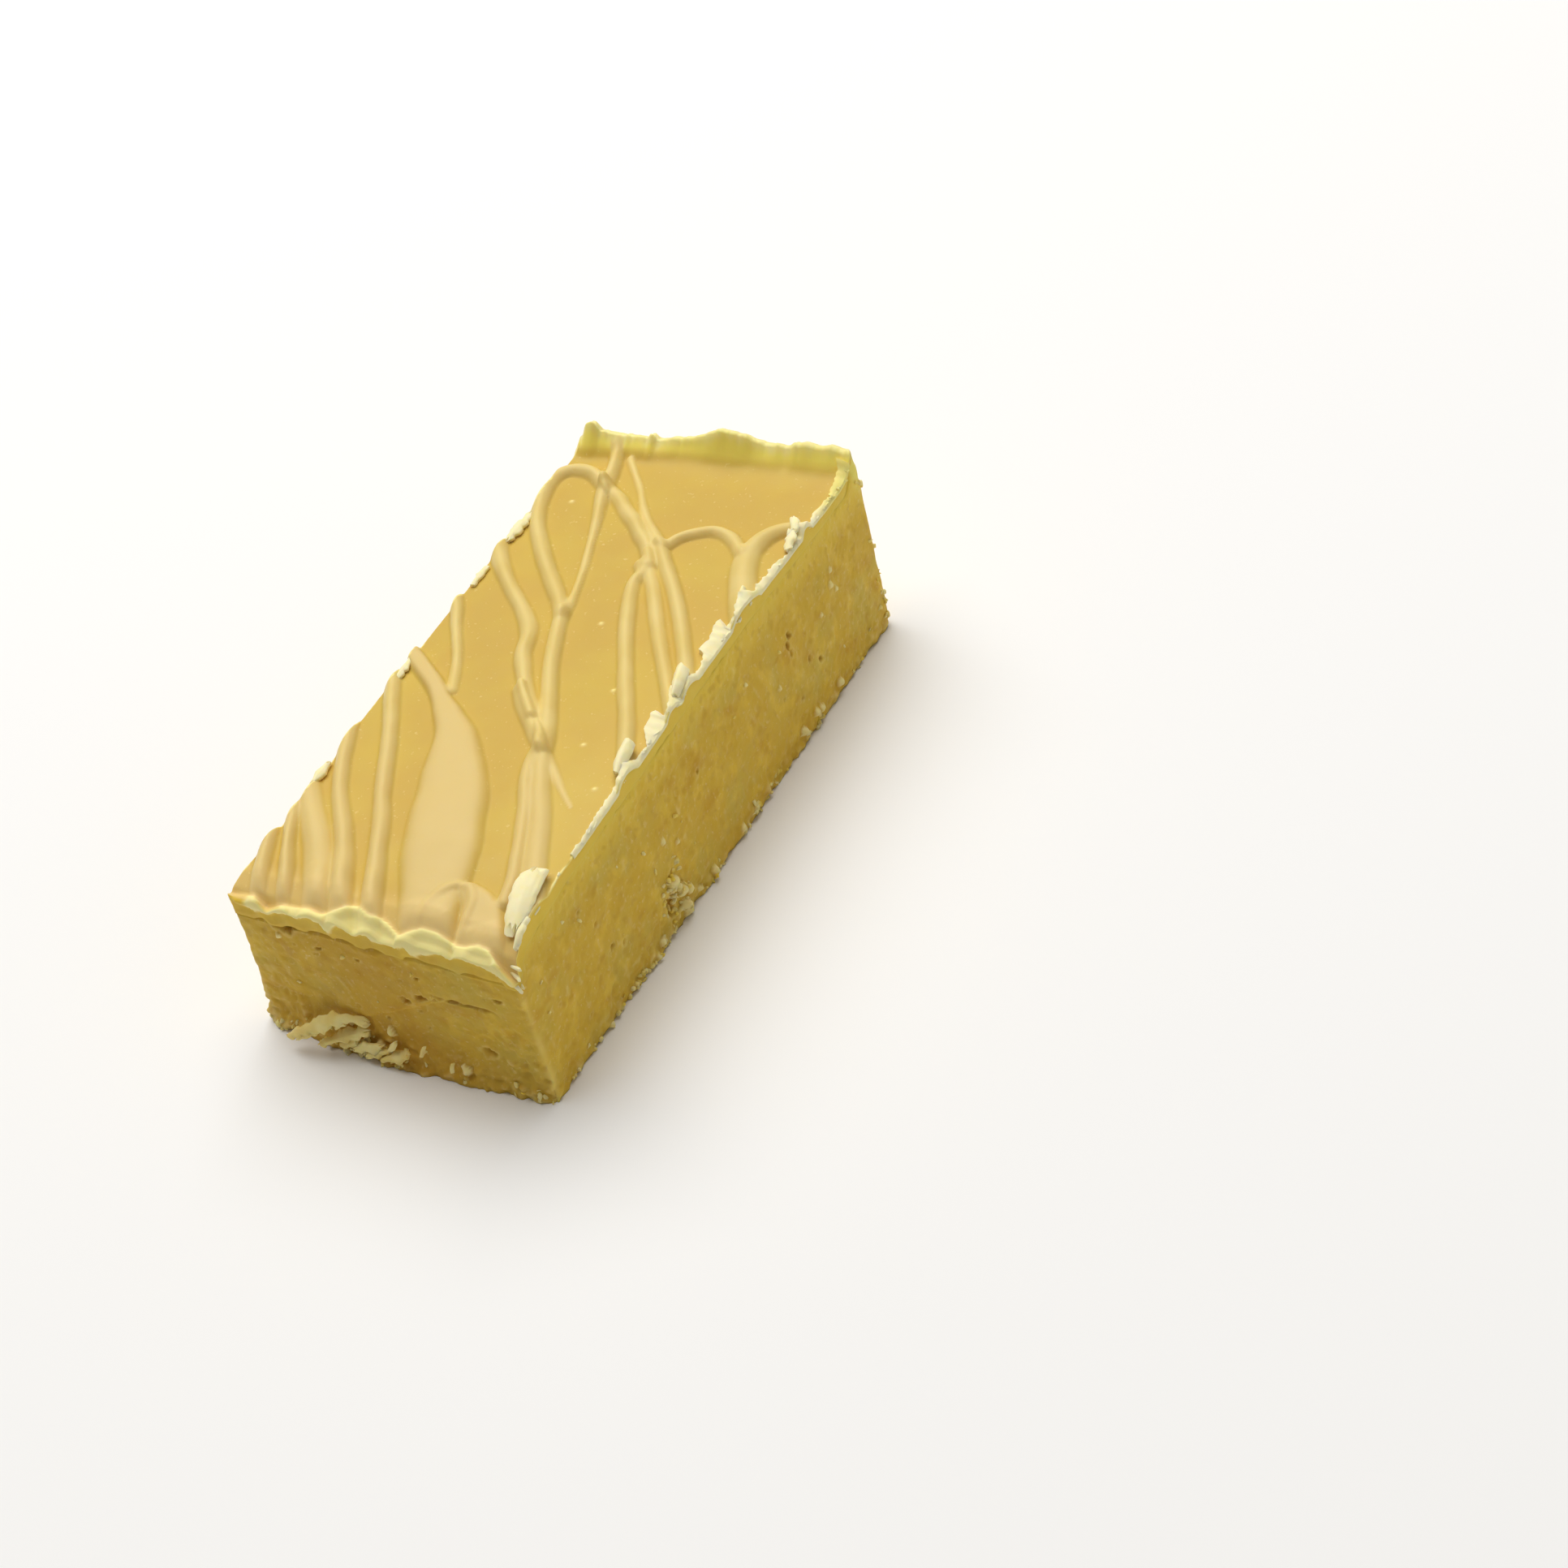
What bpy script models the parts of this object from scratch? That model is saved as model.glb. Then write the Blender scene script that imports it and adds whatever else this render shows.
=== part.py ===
"""A cut bar of lemon fudge with a thin set topping and thick drizzle.

Frame: +Z up, origin under the middle of the bar on the face it rests on, X across the bar, Y along it.
The near end (-Y) and both long sides are knife cuts. The far end (+Y) set against the wall of a tray, so
its lower edges are round and the fudge creeps up there in a thin lip.
Sizes are written in millimetres and made metres by MM.
"""

import math

import bmesh
import bpy
from mathutils import Vector, noise

MM = 0.001

# Driving sizes of the bar
LENGTH = 94.5
WIDTH = 45.0
HEIGHT = 27.2
TOPPING = 1.5
GAP = 0.3

# How the hand-poured top departs from a plane
RISE_TO_FAR = 1.1
RISE_TO_RIGHT = 1.3
SAG_LENGTH = 14.0
SAG = 1.6
BEND_LENGTH = 3.6
BEND = 1.6

# The lip against the tray wall
LIP_FOOT = 46.1
LIP_RUN = 1.6
LIP_HEIGHT = 2.5
HORN_X = -20.6

# Edges
CUT_EDGE = 0.5
TRAY_EDGE = 1.3
TRAY_FOOT = 2.4
FOOT_EDGE = 0.9
FOOT_FLARE = 1.9

# Drizzle
SUNK = 0.6
ARCH = ((-1.0, None), (-0.93, 0.36), (-0.6, 0.82), (0.0, 1.0), (0.6, 0.82), (0.93, 0.36), (1.0, None))
STATION_STEP = 3.2

NEAR_Y = -LENGTH / 2
FAR_Y = 48.1
HALF = WIDTH / 2

# Each line of drizzle: centre points (x, y) on the top, then its width and height at even stations
DRIZZLE = {
    "arch_left": (
        [(-13.0, 37.8), (-16.3, 39.9), (-19.5, 40.2), (-21.4, 38.6), (-21.6, 35.6), (-20.4, 31.5),
         (-18.3, 27.3), (-15.3, 23.3), (-11.5, 18.8), (-8.5, 15.6), (-5.7, 12.6), (-3.8, 10.0)],
        [2.3], [1.4]),
    "tab_leg": (
        [(-15.1, 45.8), (-14.5, 44.0), (-13.6, 41.3), (-12.9, 38.6), (-12.2, 36.0), (-11.3, 33.6),
         (-9.9, 30.2), (-8.4, 26.2), (-6.6, 21.4), (-5.1, 17.0), (-4.0, 13.0), (-3.6, 10.6)],
        [2.0, 2.1, 2.4, 1.8, 1.4, 1.2, 1.1, 1.1, 1.6], [1.6, 1.7, 1.6, 1.0, 0.8, 0.7, 0.7, 0.9]),
    "diagonal": (
        [(-12.6, 37.4), (-10.6, 36.2), (-8.8, 35.0), (-6.4, 32.8), (-4.0, 30.8), (-1.5, 28.3),
         (0.5, 26.5), (2.0, 24.6), (3.4, 22.4)],
        [2.2], [1.3]),
    "whisker": (
        [(-12.2, 44.0), (-9.6, 41.0), (-7.1, 38.0), (-4.6, 34.4), (-2.1, 31.4), (0.4, 28.9), (2.4, 26.8)],
        [1.0, 0.8, 0.8, 1.1, 1.4, 1.9], [0.8, 0.5, 0.5, 0.6, 0.9, 1.3]),
    "right_strand": (
        [(2.4, 27.0), (4.4, 24.4), (6.4, 22.0), (9.4, 18.4), (12.4, 14.4), (15.4, 10.0), (18.0, 6.0),
         (20.3, 2.4), (23.5, -2.4)],
        [2.2, 2.0, 2.0], [1.5, 1.2, 1.2]),
    "left_strand": (
        [(1.8, 24.6), (4.2, 20.8), (6.3, 18.0), (8.4, 14.8), (10.9, 11.0), (13.4, 7.4), (15.9, 3.9),
         (18.4, 0.4), (20.6, -2.8), (23.6, -7.2)],
        [1.9], [1.1]),
    "inner_loop": (
        [(1.9, 22.3), (3.0, 20.8), (2.9, 18.6), (3.6, 16.4), (5.0, 13.3), (6.9, 9.4), (8.9, 5.8),
         (10.9, 2.3), (12.9, -1.2), (14.9, -4.4), (16.9, -7.8), (18.6, -11.0), (20.2, -14.0), (23.4, -19.6)],
        [2.0, 2.2, 2.2], [1.2]),
    "arch_mid": (
        [(3.4, 26.4), (4.4, 28.6), (6.3, 30.3), (8.8, 31.3), (11.3, 30.8), (13.3, 29.4), (15.2, 27.4)],
        [1.8, 2.0, 2.0], [1.2]),
    "arch_right": (
        [(24.0, 34.3), (20.4, 34.2), (18.0, 33.0), (16.6, 30.6), (16.3, 27.4), (17.4, 23.9), (19.2, 20.4),
         (21.0, 17.0), (24.0, 12.0)],
        [2.4, 2.5, 3.4, 3.8, 4.0, 3.8, 3.6], [1.4, 1.5, 1.6, 1.5]),
    "left_branch": (
        [(-24.0, 25.0), (-20.6, 20.3), (-18.1, 17.3), (-14.6, 13.8), (-10.6, 10.3), (-7.8, 7.4), (-6.2, 5.0),
         (-5.0, 1.6), (-3.2, -1.2), (-1.2, -4.0), (0.8, -6.4), (3.6, -9.4)],
        [3.4, 2.4, 2.1, 2.0, 2.5, 2.3, 2.1, 2.0], [1.5, 1.3, 1.2, 1.1, 1.4, 1.2, 1.1]),
    "trunk": (
        [(-3.9, 10.4), (-3.2, 8.3), (-1.6, 4.4), (0.4, 0.0), (2.4, -3.6), (4.4, -7.2), (6.0, -10.2),
         (7.4, -13.0), (8.2, -15.0)],
        [2.2, 2.2, 2.2, 2.5, 2.8], [1.2, 1.2, 1.3, 1.4]),
    "tail": (
        [(-1.3, -5.1), (0.4, -7.2), (2.9, -9.7), (5.4, -12.2), (8.4, -15.1), (11.4, -17.7), (14.4, -20.6),
         (17.4, -23.2)],
        [2.1, 2.2, 2.2, 2.0, 1.3, 0.8, 0.4], [1.3, 1.2, 1.3, 1.0, 0.6, 0.4, 0.2]),
    "lower_left": (
        [(7.4, -14.6), (7.9, -17.6), (9.4, -21.1), (11.4, -24.6), (13.4, -28.6), (15.4, -33.0), (16.9, -36.6),
         (17.6, -40.0)],
        [1.8, 1.8, 1.9, 2.0], [1.1]),
    "lower_right": (
        [(8.2, -15.3), (10.4, -19.0), (12.4, -22.6), (14.9, -26.6), (16.9, -30.6), (18.9, -34.6),
         (21.0, -38.6), (23.6, -43.6)],
        [2.4, 2.9, 3.2, 3.2], [1.2, 1.1, 1.1]),
    "long_left": (
        [(-23.0, -3.4), (-18.4, -11.2), (-16.0, -15.0), (-13.4, -19.4), (-10.9, -24.0), (-8.4, -28.4),
         (-5.8, -32.5), (-3.7, -36.5), (-1.6, -40.6), (0.4, -45.0), (1.6, -49.6)],
        [2.0, 2.2, 2.2, 2.4, 3.4], [1.2, 1.2, 1.2, 1.3, 1.5, 3.4]),
    "teardrop": (
        [(-23.6, -0.2), (-17.3, -4.7), (-13.8, -7.2), (-11.0, -9.8), (-8.0, -12.6), (-5.2, -15.6),
         (-2.3, -20.5), (0.6, -25.5), (2.4, -29.5), (4.3, -33.5), (5.7, -36.5), (7.5, -40.5), (9.0, -45.0),
         (10.0, -49.6)],
        [2.2, 2.4, 2.6, 5.0, 8.4, 10.2, 10.2, 8.4, 7.2], [1.3, 1.2, 1.2, 1.3, 1.5, 1.6, 1.5, 1.7, 3.6]),
    "short_left": (
        [(-23.0, 12.2), (-20.0, 8.0), (-18.1, 4.8), (-16.2, 2.0), (-14.2, -1.0), (-12.5, -4.2),
         (-11.0, -7.4)],
        [2.0, 1.7, 1.4, 1.3, 1.6], [1.2, 1.0, 0.8, 0.7]),
    "third_left": (
        [(-22.6, -14.2), (-19.0, -21.6), (-17.0, -25.4), (-14.8, -29.0), (-12.3, -32.2), (-9.8, -35.4),
         (-7.6, -38.8), (-5.6, -42.3), (-4.2, -45.2), (-2.8, -49.6)],
        [2.2, 2.0, 2.2, 2.8, 3.8], [1.2, 1.2, 1.3, 1.6, 3.4]),
    "thick_left": (
        [(-23.0, -26.0), (-18.8, -30.5), (-17.0, -32.6), (-14.8, -35.0), (-12.4, -37.8), (-10.2, -41.0),
         (-8.4, -44.2), (-6.8, -49.6)],
        [3.2, 3.4, 3.8, 4.0], [1.3, 1.2, 1.4, 3.2]),
    "rim_left_a": (
        [(-20.6, -30.4), (-17.5, -36.8), (-15.5, -40.4), (-13.7, -43.6), (-11.6, -49.6)],
        [1.4, 2.2], [0.9, 2.0]),
    "rim_left_b": (
        [(-22.0, -31.4), (-19.2, -39.6), (-17.9, -43.0), (-15.6, -49.6)],
        [1.5, 2.4], [1.0, 1.9]),
    "pool": (
        [(12.4, -39.6), (14.6, -41.2), (16.6, -44.2), (17.6, -49.6)],
        [2.6, 5.0, 6.4, 6.4], [1.1, 1.1, 3.0]),
    "rim_loop": (
        [(7.6, -48.6), (8.4, -44.0), (8.9, -41.6), (10.2, -39.8), (11.8, -39.2), (13.2, -40.2), (14.0, -42.2),
         (14.4, -48.6)],
        [1.5], [1.9]),
}

# Chips of topping that the knife pushed up along the long cuts: (x, y, length, width, height, turn, lean)
CHIPS = {
    "curl": (20.4, -38.6, 8.6, 3.0, 2.6, 74, 24),
    "chip_a": (20.6, -14.2, 6.2, 2.0, 1.9, 76, 20),
    "chip_b": (21.3, -7.4, 4.4, 2.2, 2.0, 62, 14),
    "chip_c": (20.4, 1.0, 4.6, 1.8, 2.0, 72, 18),
    "chip_d": (21.0, 10.0, 6.6, 2.4, 2.1, 80, 14),
    "chip_e": (20.9, 17.4, 5.0, 2.0, 2.0, 74, 16),
    "chip_f": (20.9, 32.4, 5.6, 2.0, 2.2, 82, 12),
    "chip_left": (-20.9, 23.8, 6.0, 1.8, 1.6, 116, -8),
}

# Torn tongues at the foot of the near end: root and tip (x, y, z), width at the root, thickness
TONGUES = {
    "tongue_long": ((-8.4, -47.6, 4.8), (-17.6, -51.2, 1.5), 3.4, 1.5),
    "tongue_short": ((-6.4, -47.9, 2.4), (-12.8, -50.7, 1.0), 2.8, 1.4),
}

# Crumbs large enough to carry in the solid: (x, y, z, radius)
LUMPS = [
    (22.7, -15.8, 7.2, 1.4), (22.8, -13.9, 5.2, 1.2), (22.8, -13.8, 2.2, 1.3), (22.6, -41.0, 3.4, 1.0),
    (22.7, -44.6, 1.2, 1.1), (22.6, -31.6, 1.1, 0.9), (22.6, -20.4, 1.9, 0.9), (22.6, 2.4, 1.5, 0.8),
    (22.6, 13.0, 2.0, 1.4), (22.5, 26.6, 2.2, 1.1), (-22.6, 20.0, 2.6, 1.0), (-22.3, -12.0, 2.0, 1.1),
    (-3.6, -48.7, 1.4, 1.2), (3.0, -49.0, 2.2, 1.1), (22.2, 45.0, 4.6, 1.5),
]

# Torn hollows: (x, y, z, half sizes)
HOLLOWS = [
    (-12.9, NEAR_Y - 0.5, 20.6, 2.4, 2.4, 1.3),
    (22.9, 24.2, 17.8, 1.1, 1.4, 1.7),
    (22.9, -16.6, 9.0, 1.2, 1.5, 1.2),
    (5.6, NEAR_Y - 0.4, 13.6, 1.6, 1.3, 0.9),
    (22.9, -3.4, 17.0, 0.8, 1.0, 0.8),
]

FUDGE_COLOUR = (0.62, 0.47, 0.11, 1.0)
TOPPING_COLOUR = (0.78, 0.55, 0.22, 1.0)


def smooth(t):
    """0 below 0, 1 above 1, and an even S between."""
    t = min(max(t, 0.0), 1.0)
    return t * t * (3 - 2 * t)


def bump(x, centre, reach):
    """A round hill of height 1."""
    return math.exp(-(((x - centre) / reach) ** 2))


def left_side(v, w):
    """X of the left cut: it bellies near both ends and flares into a foot at the bottom."""
    top = -(20.3 + 1.5 * v * v + 1.1 * math.exp(-v / 0.04) - 1.3 * bump(v, 0.16, 0.12))
    return top - 0.5 * (1 - w) - FOOT_FLARE * math.exp(-w / 0.2)


def right_side(v, w):
    """X of the right cut: straight along the foot, bowed in a little along the top."""
    return 22.4 + 0.4 * (1 - w) - 0.9 * bump(v, 0.62, 0.3) * w * w


def near_end(u, w):
    """Y of the near cut: it stands out along the foot."""
    return NEAR_Y - 2.2 * math.exp(-w / 0.16) * math.sin(math.pi * min(u, 0.985)) ** 0.45


def far_end(u, w):
    """Y of the far end, which draws in towards its top and stands out on the right."""
    return FAR_Y + 1.7 * (1 - w**5) - 0.5 * (2 * u - 1) ** 2 + 0.9 * u * u


def sag(x, y):
    """How far the near edge of the top hangs under the plane."""
    off_left = (x + HALF) / WIDTH
    slope = max(0.0, 1 - (y - NEAR_Y) / SAG_LENGTH) ** 1.3
    bend = max(0.0, 1 - (y - NEAR_Y) / BEND_LENGTH) ** 1.3
    return SAG * (0.85 + 0.3 * off_left) * slope + BEND * (0.8 + 0.4 * off_left) * bend


def top_surface(x, y):
    """Height of the topping's own surface, without drizzle or lip."""
    plane = HEIGHT + RISE_TO_FAR * y / LENGTH + RISE_TO_RIGHT * x / WIDTH
    return plane - sag(x, y)


def lip_height(x):
    """Height of the lip over the top, which is uneven along the tray wall."""
    hills = 2.1 * bump(x, 2.0, 4.2) + 1.0 * bump(x, 16.5, 5.0) + 1.9 * bump(x, HORN_X, 1.3)
    return LIP_HEIGHT + hills - 0.6 * bump(x, -9.0, 6.0)


def fudge_top(x, y):
    """Height of the fudge: a seat for the topping, then the lip."""
    seat = top_surface(x, y) - TOPPING - GAP
    rise = smooth((y - LIP_FOOT) / LIP_RUN)
    return seat + rise * (TOPPING + GAP + lip_height(x))


def stations(count, edges):
    """Fractions from 0 to 1: even inside, with the given extra ones close to each end."""
    inner = [edges[-1] + (1 - 2 * edges[-1]) * i / count for i in range(count + 1)]
    return sorted(set([0.0] + list(edges) + inner + [1 - e for e in edges] + [1.0]))


def soften(a, b):
    """Turns the square corner between two faces into a round one; a and b count from the round's centre."""
    if min(a, b) <= 0:
        return a, b
    share = max(a, b) / math.hypot(a, b)
    return a * share, b * share


def rounded(value, low, high, other, other_low, other_high, radius):
    """Rounds the corner near value and other, of the rectangle low..high by other_low..other_high."""
    a = radius - min(value - low, high - value)
    b = radius - min(other - other_low, other_high - other)
    new_a, new_b = soften(a, b)
    value += (a - new_a) * (-1 if high - value < value - low else 1)
    other += (b - new_b) * (-1 if other_high - other < other - other_low else 1)
    return value, other


def bar_point(u, v, w, top):
    """A point of the bar at the fractions u across, v along and w up; top(x, y) gives its full height."""
    low_x, high_x = left_side(v, w), right_side(v, w)
    low_y, high_y = near_end(u, w), far_end(u, w)
    x = low_x + (high_x - low_x) * u
    y = low_y + (FAR_Y - low_y) * v + (high_y - FAR_Y) * smooth((v - 0.97) / 0.03)
    radius = TRAY_EDGE if v > 0.5 else CUT_EDGE
    x, y = rounded(x, low_x, high_x, y, low_y, high_y, radius)
    z = w * top(x, y)
    foot = TRAY_FOOT if v > 0.9 else FOOT_EDGE
    y, z = rounded(y, low_y, high_y, z, 0.0, 100.0, foot)
    x, z = rounded(x, low_x, high_x, z, 0.0, 100.0, FOOT_EDGE)
    return Vector((x, y, z))


def grain(point, size, depth):
    """A shallow unevenness in the cut faces."""
    return noise.noise_vector(point / size) * depth


def closed_block(name, us, vs, ws, point):
    """A closed box of quads whose corners at fractions (u, v, w) go where point says."""
    mesh = bmesh.new()
    found = {}

    def corner(i, j, k):
        if (i, j, k) not in found:
            found[i, j, k] = mesh.verts.new(point(us[i], vs[j], ws[k]) * MM)
        return found[i, j, k]

    nu, nv, nw = len(us) - 1, len(vs) - 1, len(ws) - 1
    for i in range(nu):
        for j in range(nv):
            for k, turn in ((0, 1), (nw, -1)):
                ring = [corner(i, j, k), corner(i, j + 1, k), corner(i + 1, j + 1, k), corner(i + 1, j, k)]
                mesh.faces.new(ring[::turn])
    for i in range(nu):
        for k in range(nw):
            for j, turn in ((0, 1), (nv, -1)):
                ring = [corner(i, j, k), corner(i + 1, j, k), corner(i + 1, j, k + 1), corner(i, j, k + 1)]
                mesh.faces.new(ring[::turn])
    for j in range(nv):
        for k in range(nw):
            for i, turn in ((0, 1), (nu, -1)):
                ring = [corner(i, j, k), corner(i, j, k + 1), corner(i, j + 1, k + 1), corner(i, j + 1, k)]
                mesh.faces.new(ring[::turn])
    return finish(name, mesh)


def finish(name, mesh):
    """A linked object made from a closed bmesh, with its faces pointing out."""
    bmesh.ops.recalc_face_normals(mesh, faces=mesh.faces[:])
    data = bpy.data.meshes.new(name)
    mesh.to_mesh(data)
    mesh.free()
    thing = bpy.data.objects.new(name, data)
    bpy.context.scene.collection.objects.link(thing)
    return thing


def along(values, t):
    """The value at fraction t of a list of evenly spaced ones."""
    place = t * (len(values) - 1)
    i = min(int(place), len(values) - 2) if len(values) > 1 else 0
    if len(values) == 1:
        return values[0]
    return values[i] + (values[i + 1] - values[i]) * (place - i)


def curve_through(points, step):
    """Points about step apart on a smooth curve through the given ones (Catmull-Rom)."""
    ends = [points[0]] + points + [points[-1]]
    fine = []
    for i in range(1, len(ends) - 2):
        a, b, c, d = (Vector(p) for p in ends[i - 1 : i + 3])
        pieces = 8
        for n in range(pieces):
            t = n / pieces
            fine.append(0.5 * (2 * b + (c - a) * t + (2 * a - 5 * b + 4 * c - d) * t**2
                               + (3 * b - a - 3 * c + d) * t**3))
    fine.append(Vector(points[-1]))
    travelled = [0.0]
    for a, b in zip(fine, fine[1:]):
        travelled.append(travelled[-1] + (b - a).length)
    count = max(3, round(travelled[-1] / step))
    spaced = []
    place = 0
    for n in range(count + 1):
        target = travelled[-1] * n / count
        while place < len(fine) - 2 and travelled[place + 1] < target:
            place += 1
        span = max(travelled[place + 1] - travelled[place], 1e-9)
        spaced.append(fine[place].lerp(fine[place + 1], (target - travelled[place]) / span))
    return spaced


def drizzle_line(name, points, widths, heights):
    """One line of drizzle: an arched ridge with a flat underside that sits in the topping."""
    path = curve_through(points, STATION_STEP)
    mesh = bmesh.new()
    rings = []
    for n, centre in enumerate(path):
        ahead = path[min(n + 1, len(path) - 1)] - path[max(n - 1, 0)]
        side = Vector((-ahead.y, ahead.x)).normalized()
        t = n / (len(path) - 1)
        half, height = along(widths, t) / 2, along(heights, t)
        ring = []
        for across, up in ARCH:
            at = centre + side * (across * half)
            lift = -SUNK if up is None else up * height
            ring.append(mesh.verts.new(Vector((at.x, at.y, top_surface(at.x, at.y) + lift)) * MM))
        rings.append(ring)
    for a, b in zip(rings, rings[1:]):
        for i in range(len(ARCH)):
            j = (i + 1) % len(ARCH)
            mesh.faces.new((a[i], a[j], b[j], b[i]))
    mesh.faces.new(rings[0])
    mesh.faces.new(rings[-1][::-1])
    return finish(name, mesh)


def chip(name, x, y, length, width, height, turn, lean):
    """A chip of topping: a bent plate, thin at its upper edge, rooted in the topping."""
    mesh = bmesh.new()
    heading = Vector((math.cos(math.radians(turn)), math.sin(math.radians(turn)), 0))
    across = Vector((-heading.y, heading.x, 0))
    tilt = math.tan(math.radians(lean))
    rings = []
    for s, wide, tall in ((-0.5, 0.35, 0.4), (-0.2, 1.0, 0.95), (0.2, 0.9, 1.0), (0.5, 0.6, 0.6)):
        centre = Vector((x, y, top_surface(x, y))) + heading * (s * length)
        low, high = -SUNK, height * tall
        ring = []
        for side, level in ((-0.5, low), (0.5, low), (0.36, high * 0.7), (-0.1, high), (-0.5, high * 0.6)):
            offset = across * (side * width * wide + tilt * level)
            ring.append(mesh.verts.new((centre + offset + Vector((0, 0, level))) * MM))
        rings.append(ring)
    for a, b in zip(rings, rings[1:]):
        for i in range(5):
            mesh.faces.new((a[i], a[(i + 1) % 5], b[(i + 1) % 5], b[i]))
    mesh.faces.new(rings[0])
    mesh.faces.new(rings[-1][::-1])
    return finish(name, mesh)


def tongue(name, root, tip, width, thickness):
    """A torn tongue of fudge that hangs off the foot of the near end and tapers to its tip."""
    mesh = bmesh.new()
    root, tip = Vector(root), Vector(tip)
    heading = (tip - root).normalized()
    across = heading.cross(Vector((0, 1, 0))).normalized()
    out = across.cross(heading).normalized()
    rings = []
    for s, wide in ((-0.18, 1.1), (0.1, 1.0), (0.4, 0.85), (0.7, 0.75), (0.9, 0.5), (1.0, 0.2)):
        centre = root.lerp(tip, s) + out * (0.5 * math.sin(math.pi * s))
        ring = []
        for n in range(6):
            turn = 2 * math.pi * n / 6
            sideways = across * (math.cos(turn) * width / 2 * wide)
            offset = sideways + out * (math.sin(turn) * thickness / 2 * wide)
            ring.append(mesh.verts.new((centre + offset) * MM))
        rings.append(ring)
    for a, b in zip(rings, rings[1:]):
        for i in range(6):
            mesh.faces.new((a[i], a[(i + 1) % 6], b[(i + 1) % 6], b[i]))
    mesh.faces.new(rings[0])
    mesh.faces.new(rings[-1][::-1])
    return finish(name, mesh)


def rough_ball(name, x, y, z, rx, ry, rz):
    """A small uneven ball, for a crumb or for the cutter of a torn hollow."""
    mesh = bmesh.new()
    bmesh.ops.create_icosphere(mesh, subdivisions=1, radius=1.0)
    for vert in mesh.verts:
        spread = 1 + 0.25 * noise.noise(vert.co * 1.7 + Vector((x, y, z)))
        grown = Vector((vert.co.x * rx, vert.co.y * ry, vert.co.z * rz)) * spread
        vert.co = (Vector((x, y, z)) + grown) * MM
    return finish(name, mesh)


def apply_boolean(target, pieces, operation):
    """One Boolean of target with a collection of pieces, applied; the pieces are then removed."""
    group = bpy.data.collections.new("pieces_of_" + target.name)
    bpy.context.scene.collection.children.link(group)
    for piece in pieces:
        group.objects.link(piece)
        bpy.context.scene.collection.objects.unlink(piece)
    cut = target.modifiers.new(operation.lower(), "BOOLEAN")
    cut.operation = operation
    cut.operand_type = "COLLECTION"
    cut.collection = group
    cut.solver = "MANIFOLD"
    graph = bpy.context.evaluated_depsgraph_get()
    data = bpy.data.meshes.new_from_object(target.evaluated_get(graph))
    target.modifiers.clear()
    target.data = data
    for piece in pieces:
        bpy.data.objects.remove(piece)
    bpy.data.collections.remove(group)


def level_foot(thing):
    """Nothing hangs under the face that the bar rests on."""
    for vert in thing.data.vertices:
        vert.co.z = max(vert.co.z, 0.0)


def finish_material(thing, name, colour, roughness):
    """Gives the object its own plain material."""
    material = bpy.data.materials.new(name)
    material.use_nodes = True
    shader = material.node_tree.nodes["Principled BSDF"]
    shader.inputs["Base Color"].default_value = colour
    shader.inputs["Roughness"].default_value = roughness
    shader.inputs["Metallic"].default_value = 0.0
    thing.data.materials.clear()
    thing.data.materials.append(material)
    thing.data.shade_smooth()
    thing.data.set_sharp_from_angle(angle=math.radians(35))


def make_fudge():
    """The dense bar itself, with its lip, its torn tongues, crumbs and hollows."""

    def point(u, v, w):
        place = bar_point(u, v, w, fudge_top)
        wander = grain(place, 7.0, 0.22)
        if w == 0.0:
            wander.z = 0.0
        if w == 1.0:
            wander.z *= 0.1
        return place + wander

    us = stations(13, (0.02, 0.06))
    vs = stations(24, (0.008, 0.03))
    lip = [(LIP_FOOT + LIP_RUN * share - NEAR_Y) / (FAR_Y - NEAR_Y) for share in (0.0, 0.3, 0.6, 1.0)]
    vs = sorted([v for v in vs if v < lip[0] - 0.01 or v == 1.0] + lip)
    ws = stations(6, (0.02, 0.08))
    bar = closed_block("fudge", us, vs, ws, point)
    tongues = [tongue(name, *sizes) for name, sizes in TONGUES.items()]
    lumps = [rough_ball(f"lump_{n}", x, y, z, r, r, r * 0.9) for n, (x, y, z, r) in enumerate(LUMPS)]
    apply_boolean(bar, tongues + lumps, "UNION")
    hollows = [rough_ball(f"hollow_{n}", *sizes) for n, sizes in enumerate(HOLLOWS)]
    apply_boolean(bar, hollows, "DIFFERENCE")
    level_foot(bar)
    finish_material(bar, "fudge", FUDGE_COLOUR, 0.55)
    return bar


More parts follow.
